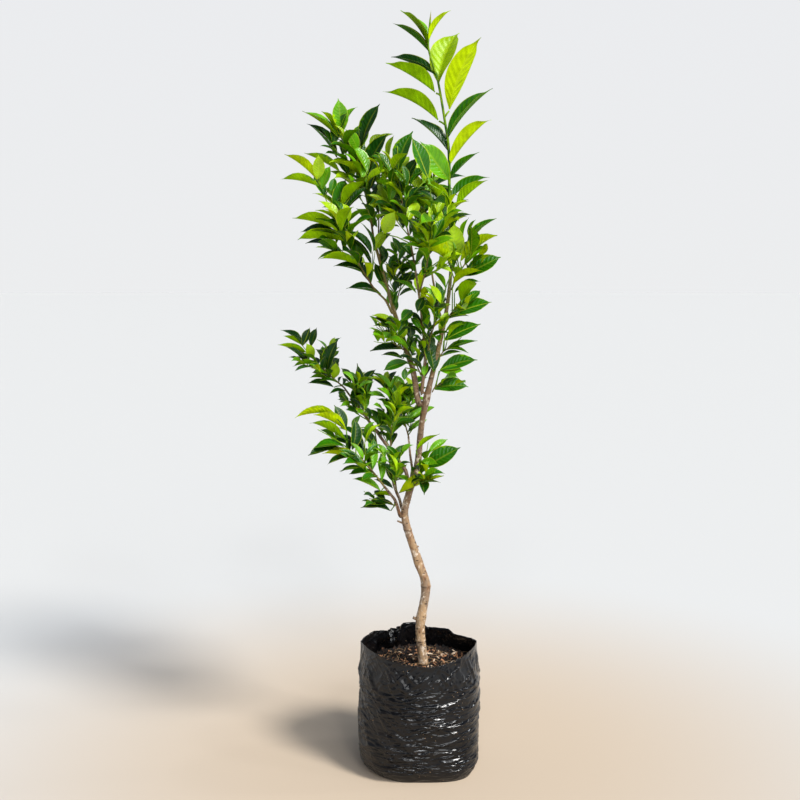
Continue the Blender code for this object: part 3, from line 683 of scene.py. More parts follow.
def chip_mesh(draw):
    """One flake lying flat on its place: three stations of a thin bent box, tapered at both ends."""
    length = draw.uniform(*CHIP_LENGTH)
    width = length * draw.uniform(*CHIP_SLENDERNESS)
    thick = draw.uniform(*CHIP_THICKNESS)
    bend = draw.uniform(-0.15, 0.25) * length
    stations = []
    for along_it, share in ((-0.5, 0.45), (-0.1, 1.0), (0.25, 0.85), (0.5, 0.3)):
        half = width * share * draw.uniform(0.8, 1.1) / 2
        rise = bend * (0.25 - along_it**2)
        slip = draw.uniform(-0.12, 0.12) * width
        corners = ((half + slip, 0.0), (half * 0.7 + slip, thick), (-half * 0.8 + slip, thick), (-half + slip, 0.0))
        stations += [(along_it * length, across, rise + up) for across, up in corners]
    ends = np.array([[3, 2, 1, 0], [12, 13, 14, 15]])
    return np.array(stations), np.concatenate([tube_faces(4, 4)[:, ::-1], ends])


def lay(draw, points, tilt):
    """Turns a mesh at random and lays it on the soil, clear of the trunk."""
    while True:
        reach = LITTER_RADIUS * math.sqrt(draw.random())
        angle = draw.uniform(0, math.tau)
        x, y = reach * math.cos(angle), reach * math.sin(angle) * BAG_DEPTH_RATIO
        if math.hypot(x - TRUNK_FOOT.x, y - TRUNK_FOOT.y) > TRUNK_CLEARANCE:
            break
    turn = Matrix.Rotation(draw.uniform(0, math.tau), 3, "Z")
    turn = turn @ Matrix.Rotation(draw.uniform(-tilt, tilt), 3, "X")
    turn = turn @ Matrix.Rotation(draw.uniform(-tilt, tilt), 3, "Y")
    return points @ np.array(turn).T + np.array([x, y, float(soil_height(x, y)) + LITTER_LIFT])


def matt_finish(name, colour):
    """A rough dry finish whose colour wanders between itself and a darker shade."""
    material, tree, shader = new_finish(name, 0.9)
    dark = tuple(part * LITTER_SHADE for part in colour)
    tree.links.new(ramp(tree, cloud(tree, LITTER_MOTTLE), (0.35, dark), (0.65, colour)), shader.inputs["Base Color"])
    bump(tree, shader, cloud(tree, 6 * LITTER_MOTTLE, detail=3), 0.0008, 0.6)
    return material


litter_draw = random.Random("soil litter")
for chip_name, count, colour in CHIPS:
    heap = Heap()
    for _ in range(count):
        points, faces = chip_mesh(litter_draw)
        heap.add(lay(litter_draw, points, CHIP_TILT), faces)
    heap.piece(chip_name, matt_finish(chip_name, colour), "soil")

fibres = Heap()
for _ in range(FIBRE_COUNT):
    length = litter_draw.uniform(*FIBRE_LENGTH)
    curl = litter_draw.uniform(-0.4, 0.4) * length
    arch = litter_draw.uniform(0.02, 0.16) * length
    stations = [length * i / 5 - length / 2 for i in range(6)]
    fibre = []
    for station in stations:
        fall = 1 - (2 * station / length) ** 2
        fibre.append(((station, curl * fall, arch * fall), FIBRE_RADIUS))
    points, faces = closed_tube(fibre, 4)
    fibres.add(lay(litter_draw, points, FIBRE_TILT), faces)
fibres.piece("coir_fibres", matt_finish("coir_fibres", FIBRE_STRAW), "soil")

# ---------------------------------------------------------------- trunk and boughs
# One young stem that bends left and right as it was trained, forks at a knee and runs on as a leader. Its thin bark
# is tan and grey low down, with ring scars and dark pores, browner at the forks and green on the new wood.

# Bends of the trunk, as height, distance across and distance back.
TRUNK_BENDS = (
    (0.300, 0.002, 0.002),
    (0.385, 0.0135, 0.004),
    (0.445, -0.004, 0.000),
    (0.536, -0.031, -0.004),
    (0.585, -0.024, -0.002),
    (0.650, -0.005, 0.003),
    (0.730, 0.003, 0.004),
    (0.800, 0.016, 0.002),
    (0.890, 0.037, -0.002),
    (0.985, 0.056, -0.002),
    (1.080, 0.064, 0.000),
    (1.189, 0.059, 0.000),
)
TRUNK_UPRIGHT = 0.004
TRUNK_BASE_RADIUS = 0.0106
TRUNK_TOP_RADIUS = 0.0023
ROOT_FLARE = 0.0014
ROOT_FLARE_HEIGHT = 0.012
# Swellings of the trunk at its old scars and forks, as height, extra radius and half length.
TRUNK_SWELLINGS = (
    (0.318, 0.0014, 0.010),
    (0.388, 0.0012, 0.012),
    (0.440, 0.0012, 0.016),
    (0.790, 0.0020, 0.022),
)
# A limb starts this far off its parent, with a collar of this tilt, and has its own course from this many radii out.
GAP = 0.0003
COLLAR_TILT = math.radians(30)
COLLAR_REACH = 3.2
TIP_RADIUS = 0.0006
# Coarse steps give a limb its course, and fine ones carry its bark.
TRUNK_STEP = 0.022
TRUNK_GRAIN_STEP = 0.0018
BOUGH_STEP = 0.026
BOUGH_GRAIN_STEP = 0.0045
TRUNK_SIDES = 26
NEW_WOOD_RADIUS = 0.0032
BOUGH_SIDES = 16
# Ring scars left by old leaves and growth stops, as heights and how strongly each shows.
RING_SCARS = (
    (0.268, 0.9),
    (0.318, 0.2),
    (0.352, 0.2),
    (0.388, 0.8),
    (0.407, 0.3),
    (0.447, 0.2),
    (0.497, 0.6),
    (0.512, 1.0),
    (0.548, 0.3),
    (0.600, 0.5),
    (0.655, 0.4),
    (0.700, 0.5),
    (0.760, 0.6),
    (0.835, 0.5),
    (0.905, 0.5),
)
RING_RISE = 0.0008
RING_HALF = 0.0022
RING_LINE = 0.0016
BARK_GRAIN = 0.00030
PORE_RISE = 0.00045
# Stubs of pruned shoots, as height, heading from +X, length and radius, and how they rise and narrow.
PRUNED_STUBS = ((0.311, 182, 0.0075, 0.0034), (0.522, 186, 0.013, 0.0020), (0.470, 20, 0.003, 0.0022))
STUB_RISE = 0.45
STUB_STATIONS = (0, 0.5, 0.8, 0.95, 1)
STUB_SIDES = 9
# A bough swells where it joins: how much of its radius its root is sunk by, and its two widths there.
BOUGH_SUNK = 0.6
BOUGH_SWELLING = (1.30, 1.22)

# at is how far along its parent a limb starts, from 0 to 1. heading from +X, rise from level and bend, by which the
# rise has changed at the tip, are in degrees.
Limb = namedtuple("Limb", "name parent at heading rise bend length base tip")
BOUGHS = (
    Limb("second_leader", "trunk", 0.58, 164, 69, 6, 0.361, 0.0066, 0.0026),
    Limb("middle_bough", "trunk", 0.604, 233, 86, -14, 0.315, 0.004, 0.0018),
    Limb("back_bough", "trunk", 0.745, 112, 58, 12, 0.15, 0.003, 0.0018),
    Limb("far_left_bough", "second_leader", 0.56, 208, 54, -16, 0.06, 0.0028, 0.002),
    Limb("long_low_bough", "trunk", 0.415, 161, 51, 0, 0.243, 0.0042, 0.0019),
    Limb("low_left_bough", "trunk", 0.338, 216, 55, -6, 0.085, 0.004, 0.0023),
    Limb("inner_low_bough", "trunk", 0.352, 130, 37, 60, 0.13, 0.0034, 0.0019),
    Limb("low_back_bough", "trunk", 0.42, 100, 42, 20, 0.1, 0.003, 0.0019),
)


def through(points, step):
    """A smooth line through the points, with a place about every step along it."""
    ends = [2 * points[0] - points[1], *points, 2 * points[-1] - points[-2]]
    line = []
    for a, b, c, d in zip(ends, ends[1:], ends[2:], ends[3:]):
        count = max(2, round((c - b).length / step))
        for i in range(count):
            t = i / count
            curve = 2 * b + (c - a) * t + (2 * a - 5 * b + 4 * c - d) * t**2
            line.append((curve + (3 * b - a - 3 * c + d) * t**3) / 2)
    return line + [points[-1]]


def arc(start, limb, count):
    """Places along a limb that starts at a point and bends evenly."""
    places = [start]
    heading = math.radians(limb.heading)
    for i in range(count):
        rise = math.radians(limb.rise + limb.bend * (i + 0.5) / count)
        flat = math.cos(rise)
        way = Vector((flat * math.cos(heading), flat * math.sin(heading), math.sin(rise)))
        places.append(places[-1] + way * (limb.length / count))
    return places


def steps_of(path):
    """Lengths between the places of a path, which is a list of (place, radius)."""
    return [(b[0] - a[0]).length for a, b in zip(path, path[1:])]


def tapered(places, base, tip):
    """A path through the places whose radius runs evenly from base to tip."""
    last = len(places) - 1
    return [(place, base + (tip - base) * i / last) for i, place in enumerate(places)]


def along(path, share):
    """Place, direction and radius at a share of a path's length."""
    spans = steps_of(path)
    left = share * sum(spans)
    for (a, ra), (b, rb), span in zip(path, path[1:], spans):
        if left <= span:
            t = left / span
            return a.lerp(b, t), (b - a).normalized(), ra + (rb - ra) * t
        left -= span
    return path[-1][0], (path[-1][0] - path[-2][0]).normalized(), path[-1][1]


def from_tip(parent, limb, count):
    """Places of a limb that grows on from its parent's tip, cap to cap."""
    tip = parent[-1][0]
    onward = (tip - parent[-2][0]).normalized()
    root = tip + onward * GAP
    return [root, *arc(root + onward * 2 * limb.base, limb, count)]


def from_side(parent, limb, count):
    """Places of a limb that leaves its parent's side by a short collar."""
    place, onward, thickness = along(parent, limb.at)
    line = arc(place, limb, count)
    way = (line[1] - line[0]).normalized()
    out = square_to(onward, way)
    collar = out * math.cos(COLLAR_TILT) + onward * math.sin(COLLAR_TILT)
    root = place + out * (thickness + GAP + limb.base * math.sin(COLLAR_TILT))
    clear = thickness + COLLAR_REACH * limb.base
    beyond = [p for p in line if (p - place).dot(out) > clear]
    return [root, root + collar * limb.base, *beyond]


def limb_path(parent, limb, step):
    """A limb as a list of (place, radius), tapering to its tip."""
    count = max(4, round(limb.length / step))
    grow = from_tip if limb.at == 1 else from_side
    tip = limb.tip if isinstance(limb, Limb) else TIP_RADIUS
    return tapered(grow(parent, limb, count), limb.base, tip)


def trunk_radius(height):
    """The trunk's taper, with its root flare and its swellings."""
    share = (height - TRUNK_FOOT.z) / (TRUNK_BENDS[-1][0] - TRUNK_FOOT.z)
    radius = TRUNK_BASE_RADIUS + (TRUNK_TOP_RADIUS - TRUNK_BASE_RADIUS) * share
    radius += ROOT_FLARE * math.exp(-(height - TRUNK_FOOT.z) / ROOT_FLARE_HEIGHT)
    for middle, extra, half in TRUNK_SWELLINGS:
        radius += extra * math.exp(-(((height - middle) / half) ** 2))
    return radius


def trunk_path(step):
    bends = [Vector((across, back, height)) for height, across, back in TRUNK_BENDS]
    upright = TRUNK_FOOT + Vector((0, 0, TRUNK_UPRIGHT))
    places = [TRUNK_FOOT, *through([upright, *bends], step)]
    return [(place, trunk_radius(place.z)) for place in places]


def bark_relief(place, out):
    """Height of the bark's grain, ring scars and pores at a point of a limb."""
    spot = place + out * 0.01
    grain = noise.noise(Vector((spot.x * 330, spot.y * 330, spot.z * 110)))
    grain += 0.6 * noise.noise(Vector((spot.x * 130, spot.y * 130, spot.z * 45)))
    pore_field = noise.noise(Vector((spot.x * 190 + 5, spot.y * 190, spot.z * 330)))
    rise = BARK_GRAIN * grain + PORE_RISE * smoothstep((pore_field - 0.28) / 0.2)
    for ring, strength in RING_SCARS:
        apart = abs(spot.z + 0.0015 * grain - ring)
        if apart < 3 * RING_HALF:
            rise += strength * RING_RISE * math.exp(-((apart / RING_HALF) ** 2))
    return rise * min(1.0, 0.35 + 0.65 * smoothstep((1.15 - spot.z) / 0.5))


def bark_marks(points):
    """How strongly ring scars and pruning scars darken points of the bark, as places on its flat pattern."""
    wander = 0.0010 * noise_at(points[:, 0] * 90, points[:, 1] * 90, points[:, 2] * 20)
    height = points[:, 2] + wander
    lines = np.zeros(len(points))
    for ring, strength in RING_SCARS:
        broken = noise_at(points[:, 0] * 150, points[:, 1] * 150, 90 * ring)
        broken = smoothstep((broken + 0.10 + 0.25 * strength) / 0.35)
        line = np.exp(-(((height - ring + 0.8 * RING_HALF) / RING_LINE) ** 2))
        lines = np.maximum(lines, min(1, strength + 0.3) * broken * line)
    scars = np.zeros(len(points))
    for level, heading, _, radius in PRUNED_STUBS:
        side = np.array([math.cos(math.radians(heading)), math.sin(math.radians(heading))])
        middle = min(trunk_steps, key=lambda step: abs(step[0].z - level))
        spot = np.array([*(np.array(middle[0].xy) + side * middle[1]), level])
        away = np.linalg.norm(points - spot, axis=1)
        scars = np.maximum(scars, 1 - smoothstep((away - 1.1 * radius) / 0.003))
    return np.stack([lines, scars], -1)


paths = {"trunk": trunk_path(TRUNK_STEP)}
trunk_skin = Heap()
trunk_steps = [(place, max(radius, NEW_WOOD_RADIUS)) for place, radius in trunk_path(TRUNK_GRAIN_STEP)]
points, faces = closed_tube(trunk_steps, TRUNK_SIDES, bark_relief)
trunk_skin.add(points, faces, bark_marks(points))
for height, heading, length, radius in PRUNED_STUBS:
    trunk_middle = min(trunk_steps, key=lambda step: abs(step[0].z - height))
    heading = math.radians(heading)
    way = Vector((math.cos(heading), math.sin(heading), STUB_RISE)).normalized()
    reach = trunk_middle[1] + length
    stub = [(trunk_middle[0] + way * reach * share, radius * (1.25 - 0.35 * share)) for share in STUB_STATIONS]
    points, faces = closed_tube(stub, STUB_SIDES, bark_relief)
    trunk_skin.add(points, faces, bark_marks(points))

bough_skin = Heap()
for limb in BOUGHS:
    paths[limb.name] = limb_path(paths[limb.parent], limb, BOUGH_STEP)
    smooth_places = through([place for place, _ in paths[limb.name]], BOUGH_GRAIN_STEP)
    fine = tapered(smooth_places, limb.base, limb.tip)
    root_place, root_radius = fine[0]
    sunk = root_place - (fine[1][0] - root_place).normalized() * BOUGH_SUNK * limb.base
    wider, wide = (root_radius * share for share in BOUGH_SWELLING)
    fine = [(sunk, wider), (root_place, wide), *fine[1:]]
    points, faces = closed_tube(fine, BOUGH_SIDES, bark_relief)
    bough_skin.add(points, faces, bark_marks(points))

BARK_TAN = (0.440, 0.280, 0.145)
# The pale is partly pale bark and partly a painted highlight, the whitish glint of glossy bark.
BARK_PALE_AND_HIGHLIGHT = (0.840, 0.710, 0.560)
BARK_GREY = (0.210, 0.140, 0.090)
BARK_RUST = (0.210, 0.090, 0.035)
BARK_BROWN = (0.165, 0.092, 0.040)
BARK_OLIVE = (0.200, 0.145, 0.026)
BARK_GREEN = (0.120, 0.215, 0.012)
BARK_PORE = (0.030, 0.016, 0.009)


def pattern_parts(tree):
    """The two values of a piece's flat pattern."""
    pattern = tree.nodes.new("ShaderNodeUVMap")
    pattern.uv_map = "pattern"
    return parts_of(tree, pattern.outputs["UV"])[:2]


def bark_material(name, low, middle, new_wood):
    """Bark that runs from one colour at its foot through a second to new wood, mottled with grey, rust and pale
    blotches that are partly painted highlights, with dark pores.
    """
    material, tree, shader = new_finish(name, 0.56)
    _, _, height = parts_of(tree, object_place(tree))
    wander = times(tree, cloud(tree, 12, detail=3), 0.16)
    height = plus(tree, height, combined(tree, "SUBTRACT", wander, 0.08))
    height = combined(tree, "DIVIDE", height, 1.6)
    ground = ramp(tree, height, (0.27, low), (0.40, middle), (0.52, middle), (0.60, BARK_OLIVE), (0.73, new_wood))
    grey = ramp(tree, cloud(tree, 42, (1, 1, 0.55), 5, 0.62), (0.46, 0.0), (0.58, 0.80))
    rust = ramp(tree, cloud(tree, 60, (1, 1, 0.7), 4, 0.6), (0.54, 0.0), (0.66, 0.85))
    old = ramp(tree, height, (0.34, 1.0), (0.62, 0.35))
    ground = mixed(tree, times(tree, grey, old), ground, BARK_GREY)
    ground = mixed(tree, times(tree, rust, old), ground, BARK_RUST)
    # Pale blotches on the old bark: partly pale bark, partly a painted highlight for its gloss.
    pale = ramp(tree, cloud(tree, 85, (1, 1, 0.8), 6, 0.68), (0.54, 0.0), (0.63, 0.75))
    ground = mixed(tree, times(tree, pale, old), ground, BARK_PALE_AND_HIGHLIGHT)
    pores = ramp(tree, cells(tree, 110, (1, 1, 1.9)), (0.22, 1.0), (0.32, 0.0))
    some = ramp(tree, cloud(tree, 80, detail=1), (0.45, 0.0), (0.53, 0.9))
    pores = times(tree, times(tree, pores, some), old)
    ground = mixed(tree, pores, ground, BARK_PORE)
    lines, scars = pattern_parts(tree)
    ground = mixed(tree, times(tree, lines, 0.8), ground, BARK_PORE)
    ground = mixed(tree, times(tree, scars, 0.75), ground, BARK_RUST)
    tree.links.new(ground, shader.inputs["Base Color"])
    grain = combined(tree, "SUBTRACT", cloud(tree, 300, (1, 1, 0.5), 6, 0.68), times(tree, pores, 0.5))
    bump(tree, shader, grain, 0.0026, 0.9)
    return material


bough_names = [limb.name for limb in BOUGHS]
trunk_skin.piece("trunk_bark", bark_material("trunk_bark", BARK_TAN, BARK_BROWN, BARK_GREEN), "bark", "trunk")
bough_skin.piece("bough_bark", bark_material("bough_bark", BARK_BROWN, BARK_BROWN, BARK_OLIVE), "bark", *bough_names)

# ---------------------------------------------------------------- sprays
# Every mass of leaves is a shoot that grows on from its bough or the trunk, with side twigs and, on those, short
# twiglets. Leaves stand alternately along them all and turn their faces up and to the light.

# A mass is a limb with leaves of some length and pitch from the share bare onward, and some twigs of a length. tone
# runs from 0, deep green, to 1, young and yellow-green; low tones paint the shade on leaves inside the crown and
# high tones paint the light on sunlit and glossy leaves, besides their age. room is the share of the mass's breadth
# and height that the leaves between those that stand out fill.
Foliage = namedtuple("Foliage", "name parent at heading rise bend length base leaf pitch bare twigs twig tone room")
FOLIAGE = (
    ("leader", "trunk", 1, 180, 87, -6, 0.358, 0.0023, 0.142, 0.0235, 0.0, 0, 0, 0.80, 1.00),
    ("upper_right", "trunk", 0.828, 330, 58, -12, 0.125, 0.0018, 0.096, 0.016, 0.1, 3, 0.055, 0.52, 0.62),
    ("mid_right", "trunk", 0.765, 322, 40, -14, 0.085, 0.0016, 0.096, 0.016, 0.12, 2, 0.045, 0.54, 0.60),
    ("right_twig", "trunk", 0.686, 345, 32, 10, 0.065, 0.0016, 0.092, 0.014, 0.15, 1, 0.045, 0.46, 0.60),
    ("low_twig", "trunk", 0.61, 350, 32, -12, 0.065, 0.0015, 0.088, 0.015, 0.25, 1, 0.04, 0.42, 0.50),
    ("leader_side", "trunk", 0.88, 215, 64, 10, 0.11, 0.0017, 0.082, 0.017, 0.15, 2, 0.06, 0.40, 1.00),
    ("upper_left", "second_leader", 1, 202, 83, -23, 0.254, 0.0026, 0.088, 0.019, 0.06, 5, 0.085, 0.55, 0.75),
    ("upper_back", "second_leader", 0.9, 88, 74, 10, 0.236, 0.002, 0.08, 0.02, 0.15, 3, 0.08, 0.50, 0.90),
    ("far_left", "far_left_bough", 1, 204, 55, 12, 0.268, 0.002, 0.096, 0.02, 0.04, 4, 0.075, 0.50, 0.75),
    ("mid_left", "second_leader", 0.33, 229, 11, 45, 0.09, 0.0018, 0.07, 0.016, 0.12, 3, 0.055, 0.44, 0.55),
    ("middle", "middle_bough", 1, 201, 74, 15, 0.19, 0.0018, 0.078, 0.018, 0.04, 4, 0.08, 0.50, 0.90),
    ("front", "middle_bough", 0.68, 285, 30, 78, 0.24, 0.0018, 0.074, 0.018, 0.15, 4, 0.07, 0.52, 0.95),
    ("heart", "middle_bough", 0.28, 312, 62, 8, 0.15, 0.0017, 0.064, 0.017, 0.15, 3, 0.055, 0.46, 1.00),
    ("left_heart", "second_leader", 0.58, 40, 62, 20, 0.13, 0.0017, 0.064, 0.016, 0.15, 4, 0.055, 0.42, 1.00),
    ("fork", "middle_bough", 0.12, 170, 52, 20, 0.09, 0.0016, 0.058, 0.015, 0.15, 2, 0.05, 0.44, 1.00),
    ("back", "back_bough", 1, 118, 70, 12, 0.17, 0.0018, 0.078, 0.018, 0.06, 4, 0.08, 0.40, 0.95),
    ("long_bough", "long_low_bough", 1, 168, 38, 12, 0.13, 0.0019, 0.056, 0.014, 0.02, 4, 0.055, 0.30, 0.74),
    ("inner_bough", "long_low_bough", 0.56, 211, 54, 15, 0.119, 0.0018, 0.058, 0.015, 0.1, 3, 0.06, 0.38, 0.72),
    ("low_left", "low_left_bough", 1, 201, 55, -27, 0.19, 0.0023, 0.09, 0.02, 0.02, 4, 0.058, 0.42, 0.75),
    ("low_bough", "low_left_bough", 0.35, 185, 24, -20, 0.06, 0.0016, 0.058, 0.015, 0.15, 1, 0.04, 0.16, 0.60),
    ("inner_low", "inner_low_bough", 1, 280, 84, 4, 0.13, 0.0019, 0.06, 0.016, 0.02, 4, 0.058, 0.44, 0.95),
    ("trunk_side", "inner_low_bough", 0.3, 265, 50, 20, 0.09, 0.0016, 0.056, 0.015, 0.15, 2, 0.05, 0.40, 0.90),
    ("low_right", "trunk", 0.448, 335, 34, -8, 0.055, 0.0016, 0.086, 0.014, 0.15, 1, 0.045, 0.46, 0.50),
    ("low_front", "trunk", 0.395, 296, 28, 10, 0.085, 0.0017, 0.066, 0.015, 0.12, 2, 0.05, 0.34, 0.70),
    ("low_back", "low_back_bough", 1, 112, 50, 14, 0.105, 0.0019, 0.066, 0.017, 0.04, 4, 0.058, 0.44, 0.85),
)
